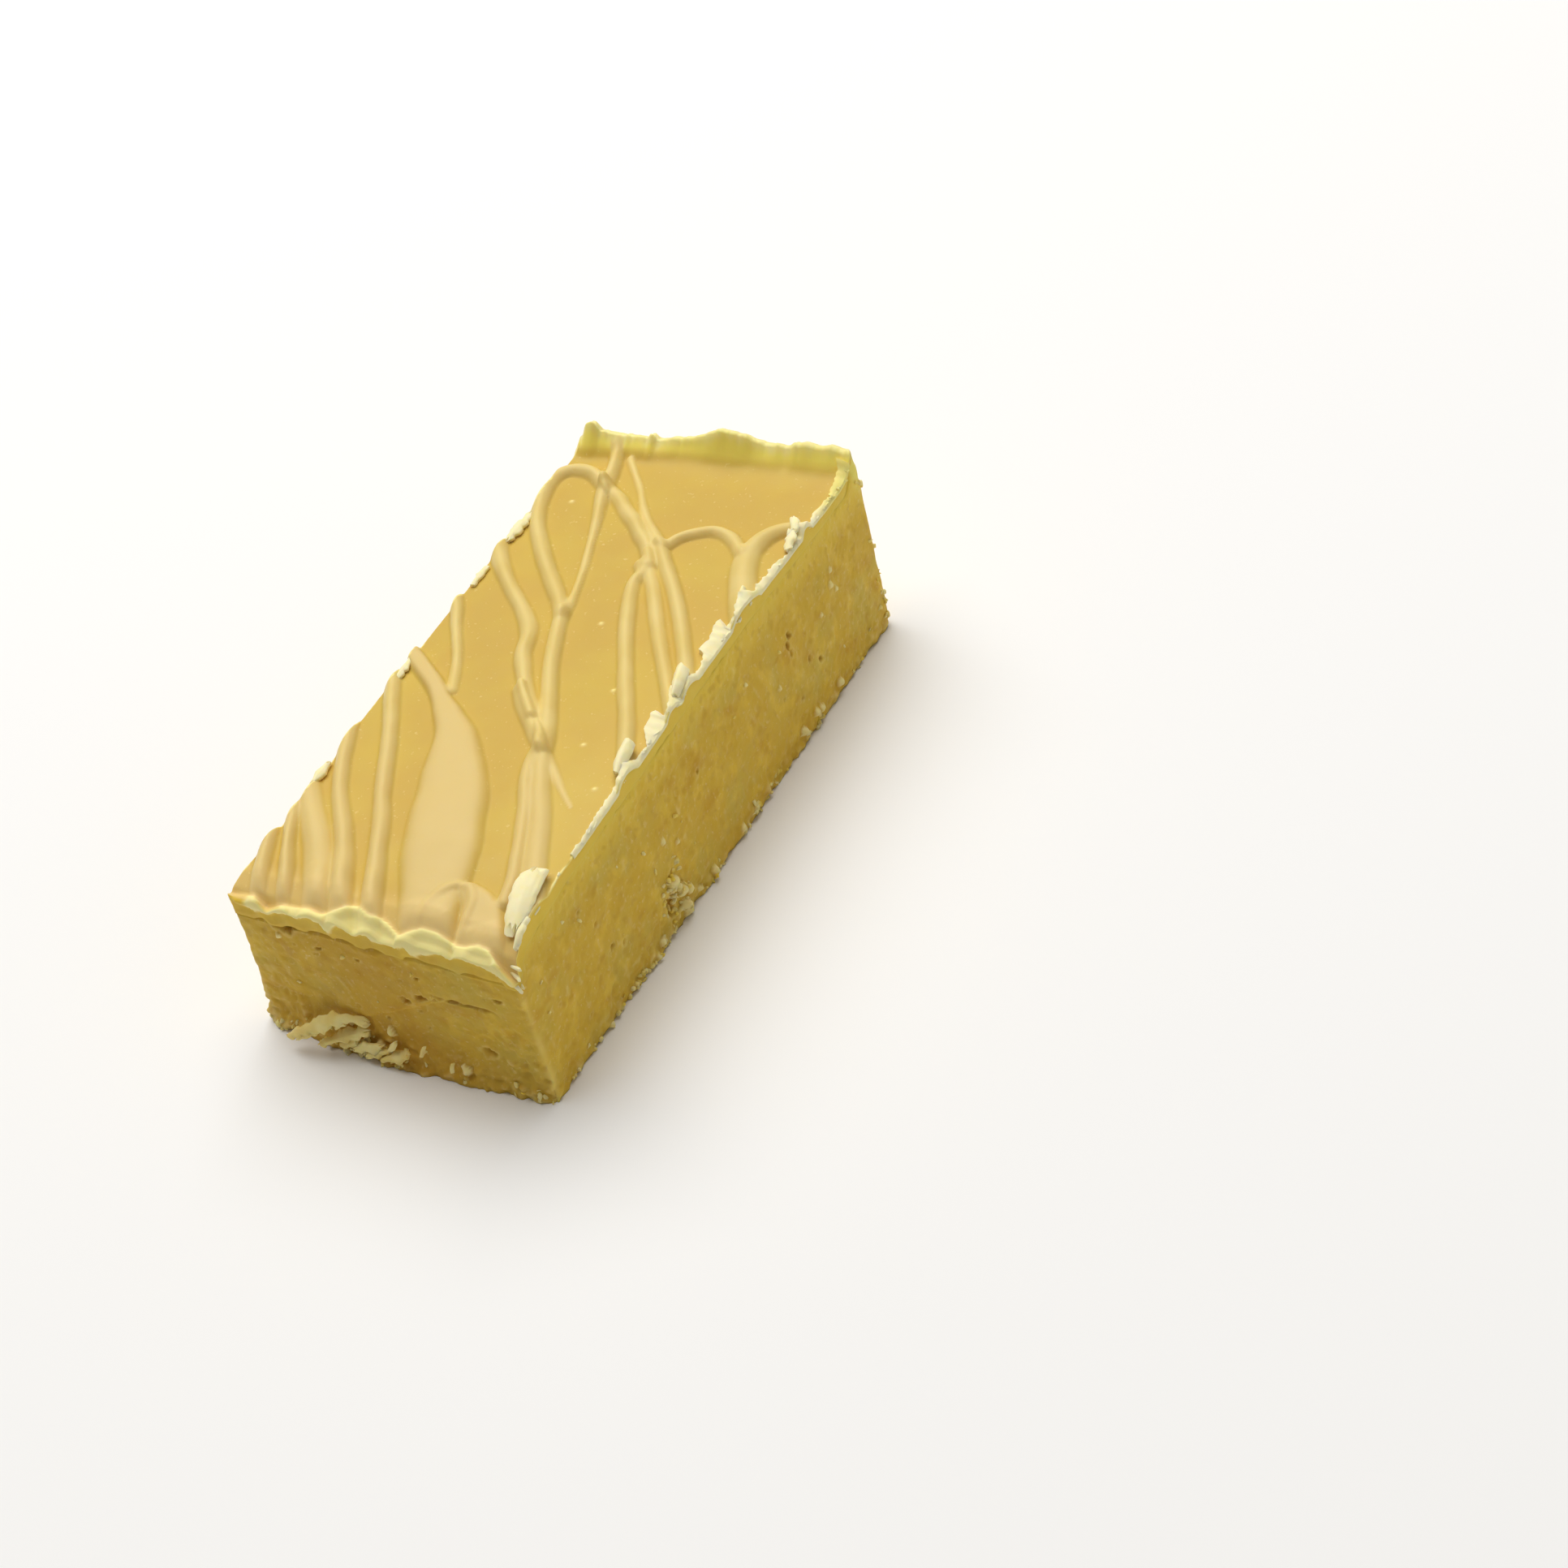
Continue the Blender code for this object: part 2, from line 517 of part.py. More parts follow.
def make_topping():
    """The thin topping with its drizzle, trimmed flush with the cuts, and the chips along the edges."""
    beyond = 4.0

    def slab_point(u, v, w):
        x = -HALF - beyond + (WIDTH + 2 * beyond) * u
        y = NEAR_Y - beyond + (LIP_FOOT - GAP - NEAR_Y + beyond) * v
        return Vector((x, y, top_surface(x, y) - TOPPING * (1 - w)))

    def trim_point(u, v, w):
        place = bar_point(u, v, 1.0, top_surface)
        place.z = HEIGHT - 9.0 + 20.0 * w
        return place

    near_rows = [beyond + y for y in (0.0, 0.9, 1.8, 2.7, 3.6, 6.0, 9.0, 14.0)]
    run = LIP_FOOT - GAP - NEAR_Y + beyond
    vs = [0.0] + [y / run for y in near_rows] + [0.26, 0.4, 0.55, 0.7, 0.85, 1.0]
    slab = closed_block("topping", [n / 8 for n in range(9)], vs, [0.0, 1.0], slab_point)
    lines = [drizzle_line(name, *shape) for name, shape in DRIZZLE.items()]
    apply_boolean(slab, lines, "UNION")
    trim = closed_block("trim", stations(8, (0.02,)), stations(16, (0.01,)), [0.0, 1.0], trim_point)
    apply_boolean(slab, [trim], "INTERSECT")
    chips = [chip(name, *sizes) for name, sizes in CHIPS.items()]
    apply_boolean(slab, chips, "UNION")
    finish_material(slab, "topping", TOPPING_COLOUR, 0.38)
    return slab


def centre_on_origin(things):
    """Moves the whole bar so that its box is centred over the origin and it rests on Z = 0."""
    corners = [vert.co for thing in things for vert in thing.data.vertices]
    low = Vector(min(c[i] for c in corners) for i in range(3))
    high = Vector(max(c[i] for c in corners) for i in range(3))
    shift = Vector(((low.x + high.x) / -2, (low.y + high.y) / -2, -low.z))
    for thing in things:
        for vert in thing.data.vertices:
            vert.co += shift
    return shift / MM


def main():
    for thing in list(bpy.data.objects):
        bpy.data.objects.remove(thing)
    return centre_on_origin([make_fudge(), make_topping()])


main()
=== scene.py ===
"""Looks of a cut bar of lemon fudge: the dense cut body, the thin set topping with its drizzle, the torn
cream edges, the torn tongues at the foot and the crumbs.

Shapes are worked out in millimetres in the bar's own frame: X across, Y along the bar to the tray end, and
Z up. MOVED carries them into the frame of the solids.
"""

import itertools
import math

import bpy
import numpy as np
from bpy.props import FloatProperty, FloatVectorProperty, IntProperty, PointerProperty
from mathutils import Matrix, Vector
from mathutils.geometry import delaunay_2d_cdt


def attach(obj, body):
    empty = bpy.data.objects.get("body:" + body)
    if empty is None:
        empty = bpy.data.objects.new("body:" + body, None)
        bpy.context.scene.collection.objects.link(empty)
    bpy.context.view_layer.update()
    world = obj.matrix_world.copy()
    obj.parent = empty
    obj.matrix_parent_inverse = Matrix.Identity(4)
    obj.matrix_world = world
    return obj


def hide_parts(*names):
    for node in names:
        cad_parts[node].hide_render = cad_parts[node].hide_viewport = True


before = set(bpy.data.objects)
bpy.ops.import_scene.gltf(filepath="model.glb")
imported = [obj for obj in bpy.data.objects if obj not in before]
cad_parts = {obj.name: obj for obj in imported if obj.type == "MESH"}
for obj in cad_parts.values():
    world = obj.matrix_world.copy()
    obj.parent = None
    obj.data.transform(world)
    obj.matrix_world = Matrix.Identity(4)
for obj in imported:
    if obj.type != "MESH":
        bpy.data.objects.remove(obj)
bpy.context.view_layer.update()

bl_info = {
    "name": "Lemon Fudge Bar",
    "version": (1, 0, 0),
    "blender": (4, 5, 0),
    "location": "3D View > Sidebar > Fudge",
    "description": "Makes the visible pieces of a drizzled bar of lemon fudge around its solids",
    "category": "Add Mesh",
}

MM = 0.001
MOVED = np.array((0.0324, 0.5025, 0.0))

# The bar, as the solids have it
LENGTH = 94.5
WIDTH = 45.0
HEIGHT = 27.2
TOPPING = 1.5
GAP = 0.3
RISE_TO_FAR = 1.1
RISE_TO_RIGHT = 1.3
SAG_LENGTH = 14.0
SAG = 1.6
BEND_LENGTH = 3.6
BEND = 1.6
CUT_EDGE = 0.5
TRAY_EDGE = 1.3
TRAY_FOOT = 2.4
FOOT_EDGE = 0.9
FOOT_FLARE = 1.9
NEAR_Y = -LENGTH / 2
FAR_Y = 48.1

# The lip, fuller here than in the solids: how far its slope reaches from the top line, where its crest
# begins, its height over the top, and the place of its left horn
LIP_WIDTH = 5.4
LIP_CREST = 0.9
LIP_HEIGHT = 2.9
HORN_X = -19.7

# How fine the two main meshes are: stations along each side, and rows up or across
BODY_STATIONS = (190, 400, 110, 200)
BODY_ROWS = 96
SKIN_COLUMNS = 208
SKIN_ROWS = 350
SKIN_END = 0.996
SKIN_EDGE_COLUMNS = 7
PATH_STEP = 0.25

# How far light spreads inside the fudge in red, green and blue, as shares of the radius that is given
GLOW = (1.0, 0.7, 0.28)
# How rough the crumbs are, and how far the floor reaches from the bar, both in metres
CRUMB_ROUGHNESS = 0.0003
FLOOR_REACH = 2.0

# The photograph's camera, found from the corners of the bar
CAMERA_PLACE = (185.85, -208.62, 241.75)
CAMERA_RIGHT = (0.875646531, 0.450241393, -0.174716457)
CAMERA_UP = (-0.191163535, 0.655345599, 0.730738427)
CAMERA_FORWARD = (-0.443508348, 0.606469154, -0.659920837)
CAMERA_LENS = 60.56
SENSOR = 36.0

# Each line of drizzle: centre points (x, y) on the top, then its width and height at even stations
DRIZZLE = {
    "arch_left": (
        [(-13.0, 37.8), (-16.3, 39.9), (-19.5, 40.2), (-21.4, 38.6), (-21.6, 35.6), (-20.4, 31.5),
         (-18.3, 27.3), (-15.3, 23.3), (-11.5, 18.8), (-8.5, 15.6), (-5.7, 12.6), (-3.8, 10.0)],
        [2.3], [1.4]),
    "tab_leg": (
        [(-15.1, 45.8), (-14.5, 44.0), (-13.6, 41.3), (-12.9, 38.6), (-12.2, 36.0), (-11.3, 33.6),
         (-9.9, 30.2), (-8.4, 26.2), (-6.6, 21.4), (-5.1, 17.0), (-4.0, 13.0), (-3.6, 10.6)],
        [2.0, 2.1, 2.4, 1.8, 1.4, 1.2, 1.1, 1.1, 1.6], [1.6, 1.7, 1.6, 1.0, 0.8, 0.7, 0.7, 0.9]),
    "diagonal": (
        [(-12.6, 37.4), (-10.6, 36.2), (-8.8, 35.0), (-6.4, 32.8), (-4.0, 30.8), (-1.5, 28.3),
         (0.5, 26.5), (2.0, 24.6), (3.4, 22.4)],
        [2.2], [1.3]),
    "whisker": (
        [(-12.2, 44.0), (-9.6, 41.0), (-7.1, 38.0), (-4.6, 34.4), (-2.1, 31.4), (0.4, 28.9), (2.4, 26.8)],
        [1.0, 0.8, 0.8, 1.1, 1.4, 1.9], [0.8, 0.5, 0.5, 0.6, 0.9, 1.3]),
    "right_strand": (
        [(2.4, 27.0), (4.4, 24.4), (6.4, 22.0), (9.4, 18.4), (12.4, 14.4), (15.4, 10.0), (18.0, 6.0),
         (20.3, 2.4), (23.5, -2.4)],
        [2.2, 2.0, 2.0], [1.5, 1.2, 1.2]),
    "left_strand": (
        [(1.8, 24.6), (4.2, 20.8), (6.3, 18.0), (8.4, 14.8), (10.9, 11.0), (13.4, 7.4), (15.9, 3.9),
         (18.4, 0.4), (20.6, -2.8), (23.6, -7.2)],
        [1.9], [1.1]),
    "inner_loop": (
        [(1.9, 22.3), (3.0, 20.8), (2.9, 18.6), (3.6, 16.4), (5.0, 13.3), (6.9, 9.4), (8.9, 5.8),
         (10.9, 2.3), (12.9, -1.2), (14.9, -4.4), (16.9, -7.8), (18.6, -11.0), (20.2, -14.0),
         (23.4, -19.6)],
        [2.0, 2.2, 2.2], [1.2]),
    "arch_mid": (
        [(3.4, 26.4), (4.4, 28.6), (6.3, 30.3), (8.8, 31.3), (11.3, 30.8), (13.3, 29.4), (15.2, 27.4)],
        [1.8, 2.0, 2.0], [1.2]),
    "arch_right": (
        [(24.0, 34.3), (20.4, 34.2), (18.0, 33.0), (16.6, 30.6), (16.3, 27.4), (17.4, 23.9), (19.2, 20.4),
         (21.0, 17.0), (24.0, 12.0)],
        [2.4, 2.5, 3.4, 3.8, 4.0, 3.8, 3.6], [1.4, 1.5, 1.6, 1.5]),
    "left_branch": (
        [(-24.0, 25.0), (-20.6, 20.3), (-18.1, 17.3), (-14.6, 13.8), (-10.6, 10.3), (-7.8, 7.4),
         (-6.2, 5.0), (-5.0, 1.6), (-3.2, -1.2), (-1.2, -4.0), (0.8, -6.4), (3.6, -9.4)],
        [3.4, 2.4, 2.1, 2.0, 2.5, 2.3, 2.1, 2.0], [1.5, 1.3, 1.2, 1.1, 1.4, 1.2, 1.1]),
    "trunk": (
        [(-3.9, 10.4), (-3.2, 8.3), (-1.6, 4.4), (0.4, 0.0), (2.4, -3.6), (4.4, -7.2), (6.0, -10.2),
         (7.4, -13.0), (8.2, -15.0)],
        [2.2, 2.2, 2.2, 2.5, 2.8], [1.2, 1.2, 1.3, 1.4]),
    "tail": (
        [(-1.3, -5.1), (0.4, -7.2), (2.9, -9.7), (5.4, -12.2), (8.4, -15.1), (11.4, -17.7), (14.4, -20.6),
         (17.4, -23.2)],
        [2.1, 2.2, 2.2, 2.0, 1.3, 0.8, 0.4], [1.3, 1.2, 1.3, 1.0, 0.6, 0.4, 0.2]),
    "lower_left": (
        [(7.4, -14.6), (7.9, -17.6), (9.4, -21.1), (11.4, -24.6), (13.4, -28.6), (15.4, -33.0),
         (16.9, -36.6), (17.6, -40.0)],
        [1.8, 1.8, 1.9, 2.0], [1.1]),
    "lower_right": (
        [(8.2, -15.3), (10.4, -19.0), (12.4, -22.6), (14.9, -26.6), (16.9, -30.6), (18.9, -34.6),
         (21.0, -38.6), (23.6, -43.6)],
        [2.4, 2.9, 3.2, 3.2], [1.2, 1.1, 1.1]),
    "long_left": (
        [(-23.0, -3.4), (-18.4, -11.2), (-16.0, -15.0), (-13.4, -19.4), (-10.9, -24.0), (-8.4, -28.4),
         (-5.8, -32.5), (-3.7, -36.5), (-1.6, -40.6), (0.4, -45.0), (1.6, -49.6)],
        [2.0, 2.2, 2.2, 2.4, 3.4], [1.2, 1.2, 1.2, 1.3, 1.5, 3.4]),
    "teardrop": (
        [(-23.6, -0.2), (-17.3, -4.7), (-13.8, -7.2), (-11.0, -9.8), (-8.0, -12.6), (-5.2, -15.6),
         (-2.3, -20.5), (0.6, -25.5), (2.4, -29.5), (4.3, -33.5), (5.7, -36.5), (7.5, -40.5),
         (9.0, -45.0), (10.0, -49.6)],
        [2.2, 2.4, 2.6, 5.0, 8.4, 10.2, 10.2, 8.4, 7.2], [1.3, 1.2, 1.2, 1.3, 1.5, 1.6, 1.5, 1.7, 3.6]),
    "short_left": (
        [(-23.0, 12.2), (-20.0, 8.0), (-18.1, 4.8), (-16.2, 2.0), (-14.2, -1.0), (-12.5, -4.2),
         (-11.0, -7.4)],
        [2.0, 1.7, 1.4, 1.3, 1.6], [1.2, 1.0, 0.8, 0.7]),
    "third_left": (
        [(-22.6, -14.2), (-19.0, -21.6), (-17.0, -25.4), (-14.8, -29.0), (-12.3, -32.2), (-9.8, -35.4),
         (-7.6, -38.8), (-5.6, -42.3), (-4.2, -45.2), (-2.8, -49.6)],
        [2.2, 2.0, 2.2, 2.8, 3.8], [1.2, 1.2, 1.3, 1.6, 3.4]),
    "thick_left": (
        [(-23.0, -26.0), (-18.8, -30.5), (-17.0, -32.6), (-14.8, -35.0), (-12.4, -37.8), (-10.2, -41.0),
         (-8.4, -44.2), (-6.8, -49.6)],
        [3.2, 3.4, 3.8, 4.0], [1.3, 1.2, 1.4, 3.2]),
    "rim_left_a": (
        [(-20.6, -30.4), (-17.5, -36.8), (-15.5, -40.4), (-13.7, -43.6), (-11.6, -49.6)],
        [1.4, 2.2], [0.9, 2.0]),
    "rim_left_b": (
        [(-22.0, -31.4), (-19.2, -39.6), (-17.9, -43.0), (-15.6, -49.6)],
        [1.5, 2.4], [1.0, 1.9]),
    "pool": (
        [(12.4, -39.6), (14.6, -41.2), (16.6, -44.2), (17.6, -49.6)],
        [2.6, 5.0, 6.4, 6.4], [1.1, 1.1, 3.0]),
    "rim_loop": (
        [(7.6, -48.6), (8.4, -44.0), (8.9, -41.6), (10.2, -39.8), (11.8, -39.2), (13.2, -40.2),
         (14.0, -42.2), (14.4, -48.6)],
        [1.5], [1.9]),
}
# Lines that are broad and flat, lines that lie high over the ones they cross, and lines pressed lower
FLAT_DRIZZLE = ("teardrop", "pool")
LAID_OVER = ("tail", "diagonal")
FLATTENED = {"rim_loop": 0.55}

# Along the near cut, on its plane: the bead's tops and its lower edge (x, z)
RIM_TOPS = [
    (-20.0, 23.9), (-16.4, 24.8), (-15.0, 22.7), (-12.1, 24.4), (-9.8, 24.6), (-7.8, 25.1), (-5.8, 24.6),
    (-3.7, 26.0), (-1.4, 27.4), (0.6, 27.8), (1.8, 26.9), (3.3, 26.9), (4.8, 25.9), (5.8, 24.5),
    (7.7, 25.8), (9.9, 27.0), (11.9, 26.9), (13.5, 26.2), (14.7, 25.4), (15.9, 25.6), (18.0, 26.6),
    (19.6, 26.2), (20.2, 24.5), (21.4, 22.5), (22.4, 21.2),
]
RIM_FOOT = [
    (-18.3, 22.4), (-15.9, 21.9), (-10.4, 23.0), (-7.9, 23.1), (-6.2, 22.5), (-5.8, 21.2), (-3.4, 23.4),
    (-1.2, 22.7), (0.7, 22.9), (2.2, 22.0), (4.1, 22.2), (6.5, 22.3), (7.1, 21.2), (9.5, 22.1),
    (11.6, 23.0), (14.3, 23.3), (17.2, 23.2), (19.0, 22.4), (20.9, 20.9), (22.5, 20.4),
]
# The bead: how high the knife rolled it, how far the body and the topping's hem keep down under it, and
# how far its lower edge stands above RIM_FOOT
ROLL_HEIGHT = 0.6
BEAD_SINK = 1.3
BEAD_FOOT_LIFT = 0.7
# Close to the slope of the middle of the camera's view: how far x and z fall for each millimetre in y
VIEW_ACROSS = 0.725
VIEW_DOWN = 1.0875
# How far under its brim each ring of the topping's wall lies
WALL_DEPTHS = (0.12, 0.3, 0.55, 0.85, 1.2, 1.6, 2.05, 2.6, 3.4, 9.0)

# Cream torn up along the right cut: place along it, and how far it could reach in from the cut
EDGE_TEAR = [
    (47.5, 3.9), (46.4, 2.9), (43.8, 2.1), (42.4, 1.7), (41.9, 0.7), (40.8, 1.1), (39.4, 1.5),
    (38.2, 1.7), (36.8, 1.3), (35.6, 0.3), (34.4, 0.7), (33.5, 1.2), (28.9, 0.1), (27.4, 0.8),
    (25.1, 1.25), (24.3, 0.95), (21.4, 1.0), (20.2, 0.4), (19.7, 0.6), (18.1, 1.9), (15.6, 1.1),
    (14.3, 0.3), (12.8, 0.9), (12.4, 1.4), (13.9, 2.9), (12.3, 3.0), (9.6, 2.2), (7.5, 2.7), (6.9, 1.4),
    (5.8, 0.9), (3.5, 0.6), (1.7, 0.6), (0.4, 1.4), (-0.7, 2.1), (-2.0, 1.8), (-3.3, 0.8), (-5.0, 0.5),
    (-5.7, 1.6), (-4.7, 2.9), (-5.1, 3.1), (-8.3, 2.5), (-9.6, 1.3), (-10.8, 0.4), (-12.9, 0.55),
    (-14.6, 0.7), (-16.2, 1.3), (-18.2, 0.8), (-20.5, 0.8), (-23.8, 0.8), (-26.6, 0.45), (-30.9, 0.4),
]
# The share of that reach which the torn cream takes up
TEAR_SHARE = 0.8
# Small slivers on the right cut: how many lie all along it, and how many more at the tray end
SLIVERS = 34
FAR_SLIVERS = 24
# Specks of cream that lie on the skin (x, y)
SKIN_CRUMBS = ((-16.2, 33.5), (2.6, 9.9), (11.5, -2.0), (13.0, -12.5), (18.8, -19.5))

# Flakes that the knife peeled back along the right cut: points (x, y, height over the top) from end to end,
# widths along it, how far it is cupped, and its lean in degrees
FLAKES = {
    "chip_far": ([(19.5, 35.2, 1.2), (20.4, 34.0, 1.3), (21.0, 32.6, 1.0)], [1.0, 1.6, 1.2], 0.2, -8),
    "chip_far_low": (
        [(20.6, 33.2, 0.9), (21.1, 31.2, 1.0), (21.6, 29.2, 0.4)],
        [0.8, 1.6, 1.3], 0.2, -16),
    "chip_far_bit": ([(20.1, 32.8, 1.1), (20.4, 32.2, 1.2), (20.5, 31.6, 1.0)], [0.6, 0.9, 0.6], 0.1, 22),
    "pillar": ([(19.9, 19.8, 1.3), (20.2, 18.6, 1.3), (21.0, 15.8, 0.6)], [0.8, 1.1, 0.6], 0.3, -5),
    "roll_far": (
        [(19.8, 2.9, 1.3), (20.3, 1.2, 1.3), (20.7, -0.6, 1.0), (21.0, -2.0, 0.6)],
        [1.9, 2.0, 1.8, 1.0], 0.8, -6),
    "roll_near": (
        [(19.9, -11.4, 1.3), (20.3, -13.4, 1.3), (20.6, -15.4, 1.1), (21.1, -17.6, 0.5)],
        [1.8, 2.0, 1.9, 1.0], 0.8, -4),
    "curl_back": (
        [(19.8, -35.6, 1.3), (20.2, -38.0, 1.5), (20.7, -40.6, 1.3), (21.4, -43.4, 0.6)],
        [3.2, 3.4, 3.4, 3.2, 2.2], 0.4, 8),
    "curl_front": (
        [(22.0, -40.4, 0.5), (22.1, -42.2, 0.6), (22.2, -43.8, 0.5), (22.3, -45.4, 0.2)],
        [0.6, 1.3, 1.1, 0.5], 0.3, -26),
}
# The same along the left cut
LEFT_FLAKES = {
    "left_far": (
        [(-20.5, 29.2, 0.5), (-20.3, 27.0, 0.6), (-20.4, 24.6, 0.6), (-20.6, 22.6, 0.4)],
        [1.0, 1.8, 1.2], 0.2, 14),
    "left_mid": ([(-20.5, 17.2, 0.3), (-20.4, 15.0, 0.4), (-20.4, 12.4, 0.3)], [0.7, 1.1, 0.8], 0.1, 14),
    "left_low": ([(-20.1, -2.8, 0.4), (-20.0, -5.4, 0.5), (-20.0, -8.0, 0.3)], [0.8, 1.2, 0.7], 0.1, 14),
    "left_near": (
        [(-19.4, -24.8, 0.5), (-19.3, -26.8, 0.6), (-19.4, -28.8, 0.4)],
        [0.8, 1.3, 0.8], 0.2, 12),
}
# Splinters that stand out of the near right corner: (x, y, z) from root to tip
SPLINTERS = [
    ((21.2, -46.0, 23.2), (22.3, -46.4, 23.4), (23.1, -46.6, 23.4)),
    ((21.2, -46.1, 22.5), (22.3, -46.8, 22.2), (23.1, -47.3, 22.3)),
    ((21.0, -46.4, 21.8), (22.0, -47.1, 21.0), (22.9, -47.4, 20.1)),
    ((21.1, -46.1, 21.2), (22.2, -46.5, 20.5), (22.7, -46.7, 20.1)),
]
# Torn tongues at the foot of the near end: points (x, y, z) from root to tip, widths, thickness, and lean
# in degrees
TONGUES = {
    "main": (
        [(-4.6, -48.0, 6.2), (-5.7, -48.4, 6.6), (-7.2, -48.9, 6.9), (-9.1, -49.5, 6.6),
         (-11.1, -50.1, 5.7), (-13.3, -50.6, 4.5), (-15.3, -50.9, 3.3), (-16.4, -51.0, 2.7)],
        [1.2, 2.0, 2.4, 2.3, 2.0, 1.5], 0.45, 50),
    "fork": ([(-11.4, -50.2, 4.9), (-13.4, -50.6, 3.7), (-15.0, -50.9, 2.4)], [1.1, 1.4, 0.7], 0.4, 48),
    "tooth": ([(-7.6, -49.0, 6.4), (-8.3, -49.3, 5.8), (-8.8, -49.5, 5.1)], [1.5, 1.0, 0.4], 0.4, 40),
    "second": (
        [(-4.6, -48.4, 4.9), (-6.5, -48.8, 4.2), (-8.2, -49.4, 3.6), (-10.3, -50.0, 2.8),
         (-12.0, -50.3, 1.8)],
        [1.4, 2.1, 2.0, 1.6, 0.8], 0.45, 50),
    "scallop": ([(-6.2, -48.9, 3.2), (-7.9, -49.3, 2.7), (-9.4, -49.6, 2.0)], [1.1, 1.6, 0.9], 0.4, 46),
    "mass_left": ([(-2.6, -48.9, 3.5), (-4.6, -49.2, 2.7), (-6.8, -49.5, 1.8)], [1.3, 2.2, 1.1], 0.5, 56),
    "mass_mid": ([(-1.2, -49.0, 2.9), (-3.2, -49.3, 2.1), (-5.0, -49.6, 1.2)], [1.0, 1.8, 0.9], 0.5, 44),
    "mass_right": ([(1.6, -49.0, 3.0), (-0.6, -49.4, 2.2), (-2.8, -49.6, 1.3)], [1.0, 2.0, 1.0], 0.5, 52),
    "shred_a": ([(0.3, -48.9, 5.2), (-0.4, -49.1, 4.2), (-1.2, -49.3, 3.1)], [0.6, 1.1, 0.6], 0.35, 30),
    "shred_b": ([(5.1, -48.9, 5.9), (4.5, -49.0, 4.9), (4.0, -49.2, 3.8)], [0.3, 0.6, 0.3], 0.35, 30),
    "shred_c": ([(9.1, -49.0, 4.4), (8.6, -49.1, 3.4), (8.4, -49.2, 2.3)], [0.3, 0.6, 0.3], 0.35, 30),
}
# Points across a flake or a tongue
SHELL_ACROSS = 17

# Hollows in each cut face: place along it, height, half sizes along it and up, and depth
HOLLOWS = {
    "near": [
        (-12.9, 20.7, 1.6, 1.05, 2.0), (-11.6, 21.7, 0.9, 0.5, 1.3), (-14.2, 20.2, 0.9, 0.5, 0.9),
        (-8.8, 17.8, 0.55, 0.3, 0.5), (-2.7, 17.7, 0.55, 0.3, 0.7), (6.2, 17.1, 0.5, 0.3, 0.5),
        (6.1, 14.0, 1.0, 0.4, 0.7), (3.6, 12.5, 0.6, 0.5, 0.6), (8.3, 14.1, 0.5, 0.3, 0.4),
        (10.6, 14.4, 1.0, 0.22, 0.5), (13.1, 14.4, 1.3, 0.2, 0.5), (18.1, 16.9, 0.8, 0.28, 0.45),
        (14.3, 6.2, 1.2, 0.55, 0.6),
    ],
    "right": [
        (24.2, 18.1, 0.5, 0.6, 0.8), (23.4, 16.8, 0.5, 0.7, 0.9), (23.7, 15.3, 0.4, 0.6, 0.6),
        (30.2, 9.0, 0.8, 0.5, 0.6), (27.6, 11.1, 0.5, 0.5, 0.6), (-3.1, 17.0, 0.5, 0.55, 0.7),
        (-29.2, 10.0, 0.5, 0.4, 0.5), (-27.1, 8.6, 0.4, 0.4, 0.4), (-16.2, 4.8, 1.2, 1.4, 0.8),
    ],
}
# Large crumbs that cling to each cut: place along it, height, and radius
LUMPS = {
    "right": [
        (-14.7, 7.3, 1.1), (-13.1, 4.8, 1.0), (-11.7, 3.6, 0.7), (-13.4, 2.4, 0.9), (-13.2, 0.8, 0.8),
        (-19.9, 1.7, 0.6), (-21.8, 0.8, 0.5), (2.7, 1.6, 0.6), (6.7, 1.8, 0.6), (-5.9, 1.5, 0.6),
        (-9.4, 1.5, 0.5), (22.0, 2.3, 0.6), (25.7, 3.0, 0.6), (27.2, 2.5, 0.6), (33.0, 2.4, 0.7),
        (-14.2, 14.5, 0.45), (-11.3, 11.8, 0.4), (36.3, 17.6, 0.5), (37.4, 16.0, 0.45), (37.2, 19.4, 0.4),
        (32.5, 15.0, 0.4), (18.9, 12.8, 0.4),
    ],
    "near": [
        (-14.7, 18.5, 0.5), (-1.1, 5.4, 0.8), (9.9, 2.4, 0.8), (-3.5, 2.1, 0.9),
    ],
}


def smooth(t):
    """0 below 0, 1 above 1, and an even S between."""
    t = np.clip(t, 0.0, 1.0)
    return t * t * (3 - 2 * t)


def bump(x, centre, reach):
    """A round hill of height 1."""
    return np.exp(-(((x - centre) / reach) ** 2))


def hashed(cells, seed):
    """An even random number in -1..1 for each whole-number cell."""
    mixed = cells[:, 0] * 73856093 ^ cells[:, 1] * 19349663 ^ cells[:, 2] * 83492791 ^ seed * 2654435761
    mixed = (mixed ^ (mixed >> 13)) * 1274126177
    mixed = (mixed ^ (mixed >> 16)) & 0xFFFFFF
    return mixed / float(0x7FFFFF) - 1.0


def noise(points, size, seed):
    """Smooth random hills and dips in -1..1, about size apart, for an array of points."""
    place = np.asarray(points, dtype=float) / size
    cell = np.floor(place).astype(np.int64)
    share = place - cell
    share = share * share * (3 - 2 * share)
    total = np.zeros(len(place))
    for corner in itertools.product((0, 1), repeat=3):
        weight = np.prod(np.where(np.array(corner) == 1, share, 1 - share), axis=1)
        total += weight * hashed(cell + np.array(corner), seed)
    return total


def at_height(x, y, z=0.0):
    """An array of points from coordinates that may be single numbers."""
    return np.stack(np.broadcast_arrays(np.asarray(x, dtype=float), y, z), axis=-1).reshape(-1, 3)


# The form of the bar


def with_sides(table):
    """The rows of a table that is kept by side, each with its side in front."""
    return [(side, *row) for side, rows in table.items() for row in rows]


